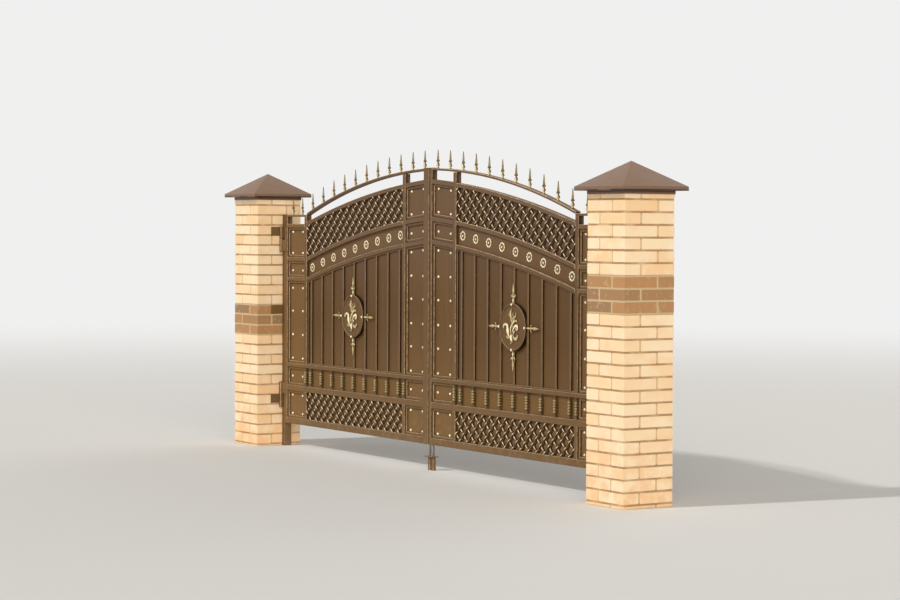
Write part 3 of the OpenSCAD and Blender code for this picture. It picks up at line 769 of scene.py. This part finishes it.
def painted_sheet_shadows(f):
    """Painted shade on the sheet's front: shadows below the lattice wires and behind the disc, and a darker
    barred bay.
    """
    u, z = abs(f.along("X")), f.along("Z")
    front = (0.0 - f.facing("Y")).rise(0.5, 0.9)
    bay = u.rise(MAIN, MAIN + 0.002) * (1.0 - u.rise(MAIN_END - 0.002, MAIN_END)) * front
    over_third = ((u - THIRD[0]) ** 2.0 + (z - THIRD[1]) ** 2.0) ** 0.5
    upper = bay * over_third.rise(THIRD[2] + 0.012, THIRD[2] + 0.016)
    lower = bay * (1.0 - z.rise(LOW_RAIL[0] - 0.002, LOW_RAIL[0]))
    marks = []
    for middle, where in ((UPPER_MIDDLE, upper), (LOWER_MIDDLE, lower)):
        for slope in (1.0, -1.0):
            off = (u - BAY_MIDDLE - slope * (z + SHADOW_DROP - middle)).fold(PITCH / 2)
            marks.append((1.0 - off.rise(0.005, 0.017)) * where)
    from_disc = ((u - DISC_U) ** 2.0 + (z - DISC_Z) ** 2.0) ** 0.5
    marks.append((1.0 - from_disc.rise(DISC_R - 0.004, DISC_R + 0.010)) * bay)
    unshaded = 1.0
    for mark in marks:
        unshaded = (1.0 - mark) * unshaded
    over_fourth = ((u - FOURTH[0]) ** 2.0 + (z - FOURTH[1]) ** 2.0) ** 0.5
    barred = bay * z.rise(MID_RAIL[1], MID_RAIL[1] + 0.01)
    barred = barred * (1.0 - over_fourth.rise(FOURTH[2] - 0.01, FOURTH[2]))
    return (1.0 - unshaded) * 0.72 + barred * 0.18


def make_tacks(bm):
    """Short welds between the sheet's back and the tubes beside it."""
    for u0, u1, high in ((PANEL, INNER_END, 1.93), (MAIN, MAIN_END, 1.66), (OUTER, OUTER_END, 1.66)):
        for u in (u0 + 0.001, u1 - 0.001):
            for k in range(TACKS):
                z = 0.29 + (high - 0.31) * k / (TACKS - 1)
                weld(bm, u, SHEET + 0.0022, z, z + 0.022, 0.0024)


sheet_paint = paint_finish("sheet_paint", 0.35, SHEET_TONES, shade=painted_sheet_shadows)
repaint("sheet", sheet_paint)
pair("sheet_tacks", make_tacks, post_paint, "brown_paint")


# Beads of the riveted cells.
# Small square tube, mitred into a ring in each of the five cells of both outer panels, its front edges
# rounded. Each ring is welded into the corner between the sheet and the tubes round it.
BEAD = 0.018
BEAD_HIGH = 0.013
CELL_LIFT = 0.0025


def cells(u):
    """The lower and upper edges of a panel's five cells at one place along the leaf, the top one first."""
    h = ARCH_BAR / 2
    if u > MAIN_END:
        lift, second, third, fourth = 0.0, FLAT_SECOND, THIRD_LOW, FOURTH_LOW
    else:
        lift, second, third, fourth = CELL_LIFT, arch_z(SECOND, u), arch_z(THIRD, u), arch_z(FOURTH, u)
    return [(third + h + lift, second - h), (fourth + h + lift, third - h), (MID_RAIL[1], fourth - h),
            (LOW_RAIL[1], MID_RAIL[0]), (FOOT_TOP, LOW_RAIL[0])]


def new_points(grown):
    """The vertices among what an extrusion made."""
    return [g for g in grown["geom"] if isinstance(g, bmesh.types.BMVert)]


def bead_ring(bm, u0, u1, low0, low1, high0, high1):
    """A ring inside a cell whose lower and upper edges may slope."""
    part = bmesh.new()
    corners = [part.verts.new((u, SHEET, z)) for u, z in ((u0, low0), (u1, low1), (u1, high1), (u0, high0))]
    face = part.faces.new(corners)
    face.normal_update()
    bmesh.ops.inset_individual(part, faces=[face], thickness=BEAD, use_even_offset=True)
    bmesh.ops.delete(part, geom=[face], context="FACES_ONLY")
    front = bmesh.ops.extrude_face_region(part, geom=part.faces[:], use_keep_orig=True)
    bmesh.ops.translate(part, vec=(0, -BEAD_HIGH, 0), verts=new_points(front))
    bmesh.ops.recalc_face_normals(part, faces=part.faces)
    add(bm, soften(part, 0.003, 1))


def make_beads(bm):
    for u0, u1 in ((PANEL, INNER_END), (OUTER, OUTER_END)):
        for (low0, high0), (low1, high1) in zip(cells(u0), cells(u1)):
            bead_ring(bm, u0, u1, low0, low1, high0, high1)


pair("bead_rings", make_beads, gate_paint, "brown_paint", "beads", crease=25)


# Bars.
# Nine upright square bars are welded on the sheet of the barred panel, inside a low bead that follows its
# four sides. All are steel with the gate's brown paint, and their sides are painted near-black, as shade
# between them and the sheet.
BARS = [0.409 + 0.160125 * k for k in range(9)]
BAR_HALF = 0.010
BAR_DEPTH = 0.014
BAY_BEAD = 0.010


def make_bars(bm):
    half = ARCH_BAR / 2
    face = SHEET - BEAD_HIGH
    low = MID_RAIL[1]
    for u in BARS:
        top = arch_z(FOURTH, u) - half + 0.002
        block(bm, (u - BAR_HALF, SHEET - BAR_DEPTH, low), (u + BAR_HALF, SHEET, top), TUBE_EDGE)
    for u0, u1 in ((MAIN, MAIN + BAY_BEAD), (MAIN_END - BAY_BEAD, MAIN_END)):
        block(bm, (u0, face, low), (u1, SHEET, arch_z(FOURTH, u0 + BAY_BEAD / 2) - half), 0.002)
    block(bm, (MAIN, face, low), (MAIN_END, SHEET, low + BAY_BEAD), 0.002)
    add(bm, rolled(FOURTH, -half - BAY_BEAD, -half + 0.001, MAIN, MAIN_END, face, SHEET, 0.002))


BAR_TONES = ((0.165, 0.096, 0.042), (0.148, 0.085, 0.042), (0.150, 0.090, 0.050))
# The bars' sides get a near-black painted shade, and their chamfers a faint painted highlight.
bar_paint = paint_finish("bar_paint", tones=BAR_TONES, recess=(FRONT, SHEET), painted_shade=0.97, wear_and_highlight=0.35)
pair("bar_set", make_bars, bar_paint, "brown_paint", "bars", crease=25)


# Balusters.
# Eleven short cast spindles with round bulges stand between the two lower rails of each leaf, welded at both
# ends: one on each stile beside the barred panel and one below each of its bars. Gold is brushed over their
# brown paint.
SPINDLES = [(INNER_END + MAIN) / 2, (MAIN_END + OUTER) / 2] + BARS
SPINDLE_R = 0.0148
SPINDLE_Y = SHEET - 0.0146
RINGS = 5


def gilt_finish(name, patchy=0.5, painted_shade=0.55, base=(0.115, 0.066, 0.026)):
    """Gold-bronze paint rubbed over brown, with olive hollows and cream crests that are partly painted shade
    and highlight.

    Painted shade is how far the sides are darkened, by taking gold off them."""
    f = Finish(name)
    cloud = f.spots(130.0, 4.0)
    # Painted shade: the faces that look left and right lose gold.
    share = f.own("gilt") + (cloud - 0.5) * patchy - abs(f.facing("X")).rise(0.45, 0.95) * painted_shade
    colour = f.blend(share.rise(0.05, 0.5), base, (0.47, 0.36, 0.15))
    colour = f.blend(share.rise(0.45, 0.95), colour, (0.98, 0.89, 0.66))
    colour = f.blend(f.spots(320.0, 3.0).rise(0.58, 0.8) * 0.3, colour, (0.28, 0.19, 0.09))
    return f.set(Base_Color=colour, Metallic=share.rise(0.2, 0.8) * 0.1,
                 Roughness=0.46 - share.rise(0.3, 0.9) * 0.16, Specular_IOR_Level=0.35,
                 Normal=f.relief(cloud + f.spots(500.0, 2.0) * 0.3, 0.0006))


def gild(part, rule):
    """Stores how much gold each point of a part gets."""
    layer = part.verts.layers.float.get("gilt") or part.verts.layers.float.new("gilt")
    for v in part.verts:
        v[layer] = min(1.0, max(0.0, rule(v.co)))
    return part


def spindle():
    """Collars and necks at both ends, and a barrel of round rings between them. The profile is in shares."""
    h, r = MID_RAIL[0] - LOW_RAIL[1], SPINDLE_R
    foot = [(0.0, 0.0), (0.74, 0.0), (0.74, 0.045), (0.66, 0.06), (0.54, 0.09), (0.54, 0.12), (0.64, 0.16)]
    rings = [(0.70 + 0.30 * math.sin(math.pi * t / 5), 0.18 + (k + t / 5) * 0.64 / RINGS)
             for k in range(RINGS) for t in range(5)]
    profile = foot + rings + [(0.70, 0.82)] + [(a, 1.0 - b) for a, b in reversed(foot)]
    part = turned([(a * r, b * h) for a, b in profile], 14)
    return gild(part, lambda p: 0.02 + 0.38 * (math.hypot(p.x, p.y) / r) ** 4)


def stamp(bm, pattern, matrix):
    """Adds a copy of a ready mesh at a place."""
    copy = pattern.copy()
    copy.transform(matrix)
    bm.from_mesh(copy)
    bpy.data.meshes.remove(copy)


spindle_mesh = mesh_of("pattern", spindle())
# Gold on the ring crests is partly a painted highlight, and the sides carry painted shade.
cast_paint = gilt_finish("cast_paint", painted_shade=0.22, base=(0.085, 0.048, 0.018))


def make_balusters(bm):
    for u in SPINDLES:
        stamp(bm, spindle_mesh, Matrix.Translation((u, SPINDLE_Y, LOW_RAIL[1])))


pair("spindles", make_balusters, cast_paint, "brown_paint", "balusters", crease=60)


# Woven lattices.
# Round wire in two directions, crimped so that each passes over or under at every crossing, in the band
# under the second arch and in the lowest panel. The crests are paler, partly rubbed and partly a painted
# highlight, and the backs and sides of the wires carry painted shade.
WIRE = 0.0047
CRIMP = 0.0044
WEAVE_Y = 0.0225
WIRE_STEP = 0.009


def wire_finish():
    f = Finish("wire_paint")
    painted_shade = (0.030, 0.015, 0.007)
    height = WEAVE_Y - f.along("Y")
    front = (0.0 - f.facing("Y")).rise(0.3, 0.75)
    # Painted highlight on the crests, where they face the street and look up.
    crest_highlight = height.rise(0.0032, 0.0080) * front * (f.facing("Z") + 0.6).rise(0.0, 0.5)
    # Painted shade: the wire is darker the further back it lies, and darkest on its back and sides.
    colour = f.blend(height.rise(-0.002, 0.006), (0.080, 0.043, 0.018), (0.175, 0.105, 0.048))
    colour = f.blend(crest_highlight * (0.7 + f.spots(60.0, 4.0).rise(0.35, 0.65) * 0.3), colour, (0.97, 0.84, 0.62))
    colour = f.blend(1.0 - height.rise(-0.0095, -0.001), colour, painted_shade)
    sides = abs(f.facing("X")).rise(0.5, 0.9) + (0.0 - f.facing("Z")).rise(0.1, 0.7)
    colour = f.blend(sides.rise(0.0, 1.0) * 0.62, colour, painted_shade)
    return f.set(Base_Color=colour, Roughness=0.5, Specular_IOR_Level=0.15,
                 Normal=f.relief(f.spots(300.0, 3.0), 0.0004))


def crimped(bm, start, end, middle, over):
    """One wire between two points. It crests at the crossings, or dips under them, where over is -1."""
    part = bmesh.new()
    run = end - start
    count = max(3, round(run.length / WIRE_STEP))
    turn = Vector((0, 0, 1)).rotation_difference(run).to_matrix().to_4x4()
    place = Matrix.Translation(start) @ turn
    ring = bmesh.ops.create_circle(part, cap_ends=True, segments=8, radius=WIRE, matrix=place)["verts"]
    edges = edges_of(ring)
    for k in range(count):
        fresh = set(new_points(bmesh.ops.extrude_edge_only(part, edges=edges)))
        bmesh.ops.translate(part, vec=run / count, verts=list(fresh))
        edges = [e for e in part.edges if e.verts[0] in fresh and e.verts[1] in fresh]
    bmesh.ops.holes_fill(part, edges=edges)
    for v in part.verts:
        v.co.y += WEAVE_Y - over * CRIMP * math.cos(2 * math.tau * (v.co.z - middle) / PITCH)
    add(bm, part)


def weave(bm, middle, lower, upper):
    """Crimped wires in both directions, cut to two edges that are functions of the place along the leaf.

    Each wire's line is tried millimetre by millimetre. It runs from the first point inside to the last."""
    for slope in (1, -1):
        for k in range(-11, 12):
            inside = []
            for n in range(-400, 401):
                z = middle + n * 0.001
                u = BAY_MIDDLE + k * PITCH + slope * (z - middle)
                if MAIN - 0.002 < u < MAIN_END + 0.002 and lower(u) - 0.004 < z < upper(u) + 0.004:
                    inside.append(Vector((u, 0.0, z)))
            if len(inside) > 8:
                crimped(bm, inside[0], inside[-1], middle, slope)


def make_top_lattice(bm):
    half = ARCH_BAR / 2
    weave(bm, UPPER_MIDDLE, lambda u: arch_z(THIRD, u) + half, lambda u: arch_z(SECOND, u) - half)


def make_bottom_lattice(bm):
    weave(bm, LOWER_MIDDLE, lambda u: FOOT_TOP, lambda u: LOW_RAIL[0])


wire_paint = wire_finish()
pair("upper_weave", make_top_lattice, wire_paint, "brown_paint", "top_lattice", crease=60)
pair("lower_weave", make_bottom_lattice, wire_paint, "brown_paint", "bottom_lattice", crease=60)


# Rosettes.
# Nine pressed petal rings with a knob in the hollow, gilded, riveted to the sheet between the third and
# fourth arch. Each is turned to an angle of its own, as a fitter leaves them.
TO_FRONT = Matrix.Rotation(math.radians(90), 4, "X")  # turns what was made round Z to the front


def rosette():
    """A turned profile in millimetres, its rim pressed into nine petals."""
    profile = [(0.0, 8.0), (3.6, 7.5), (6.0, 6.0), (7.6, 3.4), (9.5, 1.9), (15.0, 1.5), (21.0, 1.8),
               (23.5, 3.4), (26.0, 5.8), (29.0, 6.3), (32.5, 4.9), (34.7, 2.2), (34.8, 0.0), (0.0, 0.0)]
    part = turned([(a / 1000, b / 1000) for a, b in profile], 48)
    for v in part.verts:
        far = math.hypot(v.co.x, v.co.y)
        share = max(0.0, (far - 0.021) / 0.0138)
        wave = 0.5 - 0.5 * math.cos(9 * math.atan2(v.co.y, v.co.x))
        v.co.xy *= 1.0 - 0.11 * share * wave
        v.co.z *= 1.0 - 0.4 * share * wave
    gild(part, lambda p: 0.1 if 0.0070 < math.hypot(p.x, p.y) < 0.0222 else 0.32 + 0.75 * (p.z / 0.0080))
    part.transform(TO_FRONT)
    return part


rosette_mesh = mesh_of("pattern", rosette())
gilt = gilt_finish("gilt")


def make_rosettes(bm):
    for u in BARS:
        z = (arch_z(THIRD, u) + arch_z(FOURTH, u)) / 2
        turn = Matrix.Rotation(chance.uniform(0.0, math.tau), 4, "Y")
        stamp(bm, rosette_mesh, Matrix.Translation((u, SHEET, z)) @ turn)


petal_gilt = gilt_finish("petal_gilt", 1.0)
pair("petal_rings", make_rosettes, petal_gilt, "gold_paint", "rosettes", crease=50)


# Studs.
# Forty-four domed stud heads on each leaf, gilded, riveted in pairs down the two outer panels. Each cell of
# a panel has its own rows, given as shares of the way from its lowest possible row to its highest.
STUD_EDGE = 0.032
INNER_ROWS = [[0, 1], [0.42], [0, 0.2, 0.39, 0.59, 0.78, 0.99], [0.5], [0, 1]]
OUTER_ROWS = [[0, 1], [0.33], [0.01, 0.33, 0.65, 0.96], [0.5], [0, 1]]


def stud():
    profile = [(0.0, 0.0098), (0.0032, 0.0093), (0.0060, 0.0077), (0.0082, 0.0051), (0.0094, 0.0022),
               (0.0099, 0.0010), (0.0099, 0.0), (0.0, 0.0)]
    part = gild(turned(profile, 16), lambda p: 0.3 + 1.1 * p.z / 0.0098)
    part.transform(TO_FRONT)
    return part


stud_mesh = mesh_of("pattern", stud())


def make_studs(bm):
    panels = ((PANEL + 0.058, INNER_END - 0.058, INNER_ROWS), (OUTER + 0.054, OUTER_END - 0.058, OUTER_ROWS))
    for u0, u1, rows in panels:
        for k, shares in enumerate(rows):
            for share in shares:
                for u in (u0, u1):
                    low, high = cells(u if k < 2 or share > 0.9 else u0)[k]
                    z = low + STUD_EDGE + share * (high - low - 2 * STUD_EDGE)
                    stamp(bm, stud_mesh, Matrix.Translation((u, SHEET, z)))


# The crowns go near-white, gold with a painted highlight on it.
stud_gilt = gilt_finish("stud_gilt", 0.2, painted_shade=0.12)
pair("stud_heads", make_studs, stud_gilt, "gold_paint", "studs", crease=50)


# Medallions.
# A round plate with a raised rim stands on the bars, with a cast ornament of leaves and scrolls riveted to
# its middle. The ornament is the same way round on both leaves.
DISC_BACK = SHEET - BAR_DEPTH
DISC_PLACE = Matrix.Translation((DISC_U, DISC_BACK, DISC_Z)) @ TO_FRONT
RIM_PATH = 0.150
RIM_HIGH = 0.016
CAST_OUT = 0.0115
BERRIES = ((0, 38, 8), (-42, -68, 7), (14, -50, 7))  # places and radii in millimetres


def limb(points, widths, thick, out, steps=5):
    """A cast limb, oval in section, along a smooth line of points that lies some way out.

    The points, the half widths at them and the thickness are in millimetres."""
    part = bmesh.new()
    line = [Vector((x / 1000, y / 1000, out)) for x, y in points]
    widths = [w / 1000 for w in widths]
    line = [2 * line[0] - line[1], *line, 2 * line[-1] - line[-2]]
    loops = []
    for k in range(len(points) - 1):
        a, b, c, d = line[k:k + 4]
        bend = 2 * a - 5 * b + 4 * c - d
        twist = 3 * b - a - 3 * c + d
        for n in range(steps + (k == len(points) - 2)):
            t = n / steps
            spot = 0.5 * (2 * b + (c - a) * t + bend * t ** 2 + twist * t ** 3)
            way = 0.5 * ((c - a) + 2 * bend * t + 3 * twist * t ** 2)
            across = way.normalized().cross(Vector((0, 0, 1))).normalized()
            out = across.cross(way.normalized())
            width = widths[k] + (widths[k + 1] - widths[k]) * (3 * t ** 2 - 2 * t ** 3)
            height = thick / 1000 * (0.35 + 0.65 * width / max(widths))
            turn = Matrix((across * width, out * height, way.normalized())).transposed().to_4x4()
            ring = bmesh.ops.create_circle(part, cap_ends=False, segments=10, radius=1.0,
                                           matrix=Matrix.Translation(spot) @ turn)["verts"]
            loops.append(edges_of(ring))
    for first, second in zip(loops, loops[1:]):
        bmesh.ops.bridge_loops(part, edges=first + second)
    bmesh.ops.holes_fill(part, edges=loops[0] + loops[-1])
    bmesh.ops.recalc_face_normals(part, faces=part.faces)
    return part


def ball(x, y, z, r):
    part = bmesh.new()
    bmesh.ops.create_icosphere(part, subdivisions=3, radius=r)
    return moved(part, x, y, z)


def on_disc(part, flip=1):
    """Lays a part that was made round Z onto the disc, facing the front."""
    part.transform(Matrix.Diagonal((flip, 1.0, 1.0, 1.0)))
    part.transform(DISC_PLACE)
    return part


def make_disc(bm):
    profile = [(0.0, 0.0080), (0.120, 0.0080), (0.1400, 0.0080), (0.1428, 0.0084), (0.1442, 0.0130),
               (0.1465, 0.0156), (0.1500, 0.0160), (0.1535, 0.0156), (0.1560, 0.0135), (0.1570, 0.0105),
               (0.1570, 0.0), (0.0, 0.0)]
    add(bm, on_disc(turned(profile, 96)))


ORNAMENT = [
    # points in millimetres from the plate's middle, half widths, thickness, gilt at the crest
    ([(-4, 42), (-18, 66), (-38, 82), (-60, 86)], [5, 7, 6, 1], 4.0, 0.42),
    ([(0, 40), (-14, 70), (-18, 98), (-2, 126)], [6, 13, 14, 1], 6.0, 0.60),
    ([(4, 42), (20, 64), (40, 74), (42, 92), (24, 100)], [5, 11, 9, 6, 2], 5.0, 0.48),
    ([(12, 60), (10, 86), (20, 110)], [3, 7, 1], 4.0, 0.45),
    ([(-2, 66), (2, 36), (6, 10), (0, -12)], [8, 9, 9, 4], 5.0, 0.36),
    ([(-30, 60), (-14, 44), (2, 30)], [2, 6, 6], 4.0, 0.40),
    ([(34, 60), (20, 46), (6, 30)], [2, 6, 6], 4.0, 0.40),
    ([(60, 34), (46, 46), (24, 38), (2, 20), (-14, -4), (-14, -32), (-4, -62)],
     [4, 7, 9, 9, 9, 7, 4], 7.0, 0.70),
    ([(-24, -68), (-40, -50), (-48, -22), (-52, 4), (-68, 17), (-90, 15), (-102, 1), (-92, -10)],
     [4, 13, 18, 14, 11, 10, 8, 4], 9.0, 1.05),
    ([(-58, -50), (-64, -26), (-62, -4)], [2, 6, 2], 5.0, 0.50),
    ([(2, -30), (18, -10), (38, 9), (58, 10), (66, -6), (52, -16), (42, -4)],
     [5, 8, 11, 11, 9, 7, 4], 8.0, 1.0),
    ([(10, -36), (24, -32), (30, -20)], [5, 8, 4], 6.0, 0.85),
    ([(-6, -42), (-10, -66), (-4, -84), (8, -98)], [5, 16, 14, 2], 9.0, 1.05),
    ([(4, -50), (24, -72), (46, -75), (64, -60), (60, -44)], [4, 11, 14, 10, 2], 7.0, 0.62),
    ([(-12, -50), (-34, -68), (-58, -68), (-76, -50)], [4, 9, 9, 2], 5.0, 0.46),
    ([(-4, -90), (-12, -106), (-24, -112)], [5, 6, 1], 4.5, 0.60),
]


def make_ornament(bm, left):
    flip = -1 if left else 1
    for points, widths, thick, bright in ORNAMENT:
        part = limb(points, widths, thick, CAST_OUT)
        gild(part, lambda p: bright * (0.12 + 0.95 * max(0.0, (p.z - CAST_OUT) / (thick / 1000)) ** 1.3))
        add(bm, on_disc(part, flip))
    for x, z, r in BERRIES:
        part = gild(ball(x / 1000, z / 1000, 0.0110, r / 1000), lambda p: 0.4 + 30 * (p.z - 0.011))
        add(bm, on_disc(part, flip))


def disc_edge_shade(f):
    """Painted shade: 1 on the plate's edge, behind its rim."""
    edge = (1.0 - abs(f.facing("Y"))).rise(0.55, 0.85)
    return edge * f.along("Y").rise(DISC_BACK - 0.0150, DISC_BACK - 0.0130) * 0.9


disc_paint = paint_finish("disc_paint", shade=disc_edge_shade)
pair("disc", make_disc, disc_paint, "brown_paint", "medallion", crease=60)
worn_gilt = gilt_finish("worn_gilt", 1.3)
pair("ornament", make_ornament, worn_gilt, "gold_paint", crease=60, handed=True)


# Spears.
# Four cast spear heads point out of each medallion, each with a collar, two barbs and a leaf-shaped point,
# riveted to the bars beside it. A gilt ball sits on the rim at the root of each.
KNOB_R = 0.0099
SPEAR_OUT = 0.004


def spear_head(stem, blade):
    """A flat-backed spear head that points to +Y from the rim, from the gilt of its stem and its blade."""
    part = bmesh.new()
    limbs = (([(0, -10), (0, 20), (0, 46)], [4.5, 4, 4], 4, stem),
             ([(0, 12), (0, 17), (0, 23), (0, 28)], [4, 9, 9, 4], 6, stem),
             ([(0, 38), (0, 46), (0, 56), (0, 66)], [4, 7, 8, 5], 6, blade),
             ([(2, 44), (13, 46), (22, 53), (19, 61)], [4, 5, 3.5, 1], 4.5, stem * 0.8),
             ([(-2, 44), (-13, 46), (-22, 53), (-19, 61)], [4, 5, 3.5, 1], 4.5, blade),
             ([(0, 62), (0, 72), (0, 88), (0, 112), (0, 142)], [4, 8, 12, 7, 0.6], 5.5, blade))
    for points, widths, thick, bright in limbs:
        more = limb(points, widths, thick, SPEAR_OUT, 4)
        cut(more, (0, 0, 0), (0, 0, -1))
        add(part, gild(more, lambda p: bright * (0.4 + 0.6 * min(1.0, p.z / 0.009))))
    return part


def make_spears(bm):
    for quarter in range(4):
        angle = math.radians(90 * quarter)
        aim = Matrix.Rotation(angle, 4, "Z") @ Matrix.Translation((0, DISC_R, 0))
        stamp(bm, spear_meshes[quarter % 2], DISC_PLACE @ aim)
        knob = ball(RIM_PATH * math.sin(angle), RIM_PATH * math.cos(angle), RIM_HIGH, KNOB_R)
        add(bm, on_disc(gild(knob, lambda p: 0.5 + 0.6 * (p.z - RIM_HIGH) / KNOB_R)))


spear_meshes = [mesh_of("pattern", spear_head(stem, blade)) for stem, blade in ((1.0, 0.55), (0.66, 0.45))]
pair("spear_heads", make_spears, worn_gilt, "gold_paint", "spears", crease=50)


# Finials.
# Thirteen cast spear finials stand on each top arch, welded at the foot: a turned stem with a flat barbed
# blade on it. Gold is rubbed over their brown paint, and most of it is left in the middle of the blade.
FINIALS = [0.085, 0.245] + BARS + [1.852, 1.996]


def finial():
    stem = turned([(0.0, -0.004), (0.0105, -0.004), (0.0105, 0.004), (0.0070, 0.008), (0.0070, 0.013),
                   (0.0125, 0.019), (0.0130, 0.026), (0.0090, 0.034), (0.0055, 0.042), (0.0045, 0.052),
                   (0.0, 0.052)], 14)
    blade = bmesh.new()
    outline = [(0.0045, 0.044), (0.0055, 0.050), (0.0120, 0.045), (0.0170, 0.046), (0.0185, 0.053),
               (0.0140, 0.058), (0.0085, 0.064), (0.0100, 0.078), (0.0060, 0.098), (0.0025, 0.116),
               (0.0, 0.1295)]
    ring = outline + [(-x, z) for x, z in outline[-2::-1]]
    face = blade.faces.new([blade.verts.new((x, -0.003, z)) for x, z in ring])
    grown = bmesh.ops.extrude_face_region(blade, geom=[face])
    bmesh.ops.translate(blade, vec=(0, 0.006, 0), verts=new_points(grown))
    bmesh.ops.recalc_face_normals(blade, faces=blade.faces)
    soften(blade, 0.0016, 2)
    add(stem, blade)
    return gild(stem, lambda p: 0.45 + 0.35 * math.sin(p.z * 90))


finial_mesh = mesh_of("pattern", finial())


def make_finials(bm):
    for u in FINIALS:
        z = FLAT_TOP + TOP_BAR / 2 if u > MAIN_END else arch_z(TOP_ARCH, u) + TOP_BAR / 2
        stamp(bm, finial_mesh, Matrix.Translation((u, (FRONT + BACK) / 2, z)))


pair("finial_row", make_finials, gilt, "gold_paint", "finials", crease=40)


# Hinge barrels.
# Each leaf hangs on two steel knuckles that turn on the fixed pins. Their straps lap the hinge stile's face
# and are welded along their inner edge.
STRAP_END = LEAF_END - 0.040


def make_barrels(bm):
    for z in (LOW_HINGE + PLAY, HIGH_HINGE - PLAY - BARREL_LONG):
        add(bm, barrel(z))
        block(bm, (STRAP_END, FRONT - 0.006, z + 0.005),
              (HINGE_X - BARREL + 0.004, FRONT - 0.0001, z + 0.093), 0.001, 2)
        weld(bm, STRAP_END - 0.001, FRONT - 0.001, z + 0.008, z + 0.090, 0.0025)


# The knuckles get strong pale streaks down their round faces: wear and a painted highlight.
knuckle_paint = paint_finish("knuckle_paint", wear_and_highlight=2.6)
pair("hinge_knuckles", make_barrels, knuckle_paint, "brown_paint", "hinge_barrels")


# Drop bolts.
# A round steel rod slides in each meeting stile and drops into the keep. A knob at the back, which runs in a
# long hole of the stile, lifts it.
BOLT_R = 0.0070
BOLT_LONG = 0.420


def make_bolt(bm, left):
    u = joint_at(left) + BOLT_SIDE
    tip = KEEP_TOP + 0.005
    rod = [(0.0, 0.0), (BOLT_R - 0.002, 0.0), (BOLT_R, 0.003), (BOLT_R, BOLT_LONG - 0.0008),
           (BOLT_R - 0.0008, BOLT_LONG), (0.0, BOLT_LONG)]
    add(bm, moved(turned(rod, 18), u, BOLT_Y, tip))
    grip = turned([(0.0, 0.0), (0.0040, 0.0), (0.0040, 0.030), (0.0049, 0.0325), (0.0049, 0.0420),
                   (0.0035, 0.0430), (0.0, 0.0430)], 16)
    grip.transform(Matrix.Rotation(math.radians(-90), 4, "X"))
    add(bm, moved(grip, u, BOLT_Y, tip + BOLT_LONG - 0.040))


pair("drop_bolt_rod", make_bolt, dull_steel, "steel", "drop_bolt", body="bolt", handed=True)


# The view.
# A pale floor that fades into a pale backdrop. The sun stands half way up in front of the gate, with a warm
# bounce from the right and a weak light from behind, and the camera is where the photograph was taken from.
BACKDROP = (0.87, 0.87, 0.865, 1.0)
SKYLIGHT = (1.0, 0.985, 0.955, 1.0)
SKYLIGHT_STRENGTH = 0.36
LAMPS = (("sun", 1.50, (1.0, 0.985, 0.96), 2, (-0.12, -0.74, 0.66)),
         ("bounce", 2.5, (1.0, 0.92, 0.80), 50, (0.86, -0.48, 0.17)),
         ("fill", 0.75, (1.0, 0.98, 0.95), 50, (-0.25, 0.92, 0.24)))
CAMERA_AT = (13.6765, -8.5395, 1.6899)
LENS = 92.596


def floor_finish():
    f = Finish("pale_floor")
    far = f.node("ShaderNodeVectorMath", {"operation": "LENGTH"}, {0: f.place}, "Value").rise(7.0, 26.0)
    f.set(Base_Color=(0.72, 0.715, 0.70), Roughness=0.9)
    glow = f.node("ShaderNodeEmission", {}, {"Color": BACKDROP, "Strength": 1.0})
    both = f.node("ShaderNodeMixShader", {}, {0: far, 1: Wire(f, f.skin.outputs[0]), 2: glow})
    f.tree.links.new(both.socket, f.end.inputs[0])
    return f.material


ground = bmesh.new()
bmesh.ops.create_grid(ground, x_segments=1, y_segments=1, size=90.0)
floor_mesh = mesh_of("floor", ground)
floor_mesh.materials.append(floor_finish())
floor = put_in_scene("floor", floor_mesh)

world = bpy.data.worlds.new("sky")
world.use_nodes = True
sky = world.node_tree
sky.nodes.clear()
seen = sky.nodes.new("ShaderNodeBackground")
seen.inputs[0].default_value = BACKDROP
light = sky.nodes.new("ShaderNodeBackground")
light.inputs[0].default_value = SKYLIGHT
light.inputs[1].default_value = SKYLIGHT_STRENGTH
path = sky.nodes.new("ShaderNodeLightPath")
shown = light
for ray in ("Is Camera Ray", "Is Glossy Ray"):
    mix = sky.nodes.new("ShaderNodeMixShader")
    sky.links.new(path.outputs[ray], mix.inputs[0])
    sky.links.new(shown.outputs[0], mix.inputs[1])
    sky.links.new(seen.outputs[0], mix.inputs[2])
    shown = mix
sky.links.new(shown.outputs[0], sky.nodes.new("ShaderNodeOutputWorld").inputs[0])
bpy.context.scene.world = world

for name, strength, colour, spread, way in LAMPS:
    lamp_data = bpy.data.lights.new(name, "SUN")
    lamp_data.energy = strength
    lamp_data.color = colour
    lamp_data.angle = math.radians(spread)
    put_in_scene(name, lamp_data).matrix_world = Vector(way).to_track_quat("Z", "Y").to_matrix().to_4x4()

YAW, TILT, ROLL = (math.radians(a) for a in (-57.443, -1.7712, 0.27013))
ahead = Vector((math.sin(YAW) * math.cos(TILT), math.cos(YAW) * math.cos(TILT), math.sin(TILT)))
level = Vector((math.cos(YAW), -math.sin(YAW), 0.0))
upright = level.cross(ahead)
right = level * math.cos(ROLL) + upright * math.sin(ROLL)
up = upright * math.cos(ROLL) - level * math.sin(ROLL)
camera_data = bpy.data.cameras.new("camera")
camera_data.sensor_fit = "HORIZONTAL"
camera_data.sensor_width = 36.0
camera_data.lens = LENS
camera_data.clip_end = 500.0
camera = put_in_scene("camera", camera_data)
turn = Matrix((right, up, -ahead)).transposed().to_4x4()
camera.matrix_world = Matrix.Translation(CAMERA_AT) @ turn
bpy.context.scene.camera = camera
bpy.context.scene.view_settings.view_transform = "Standard"
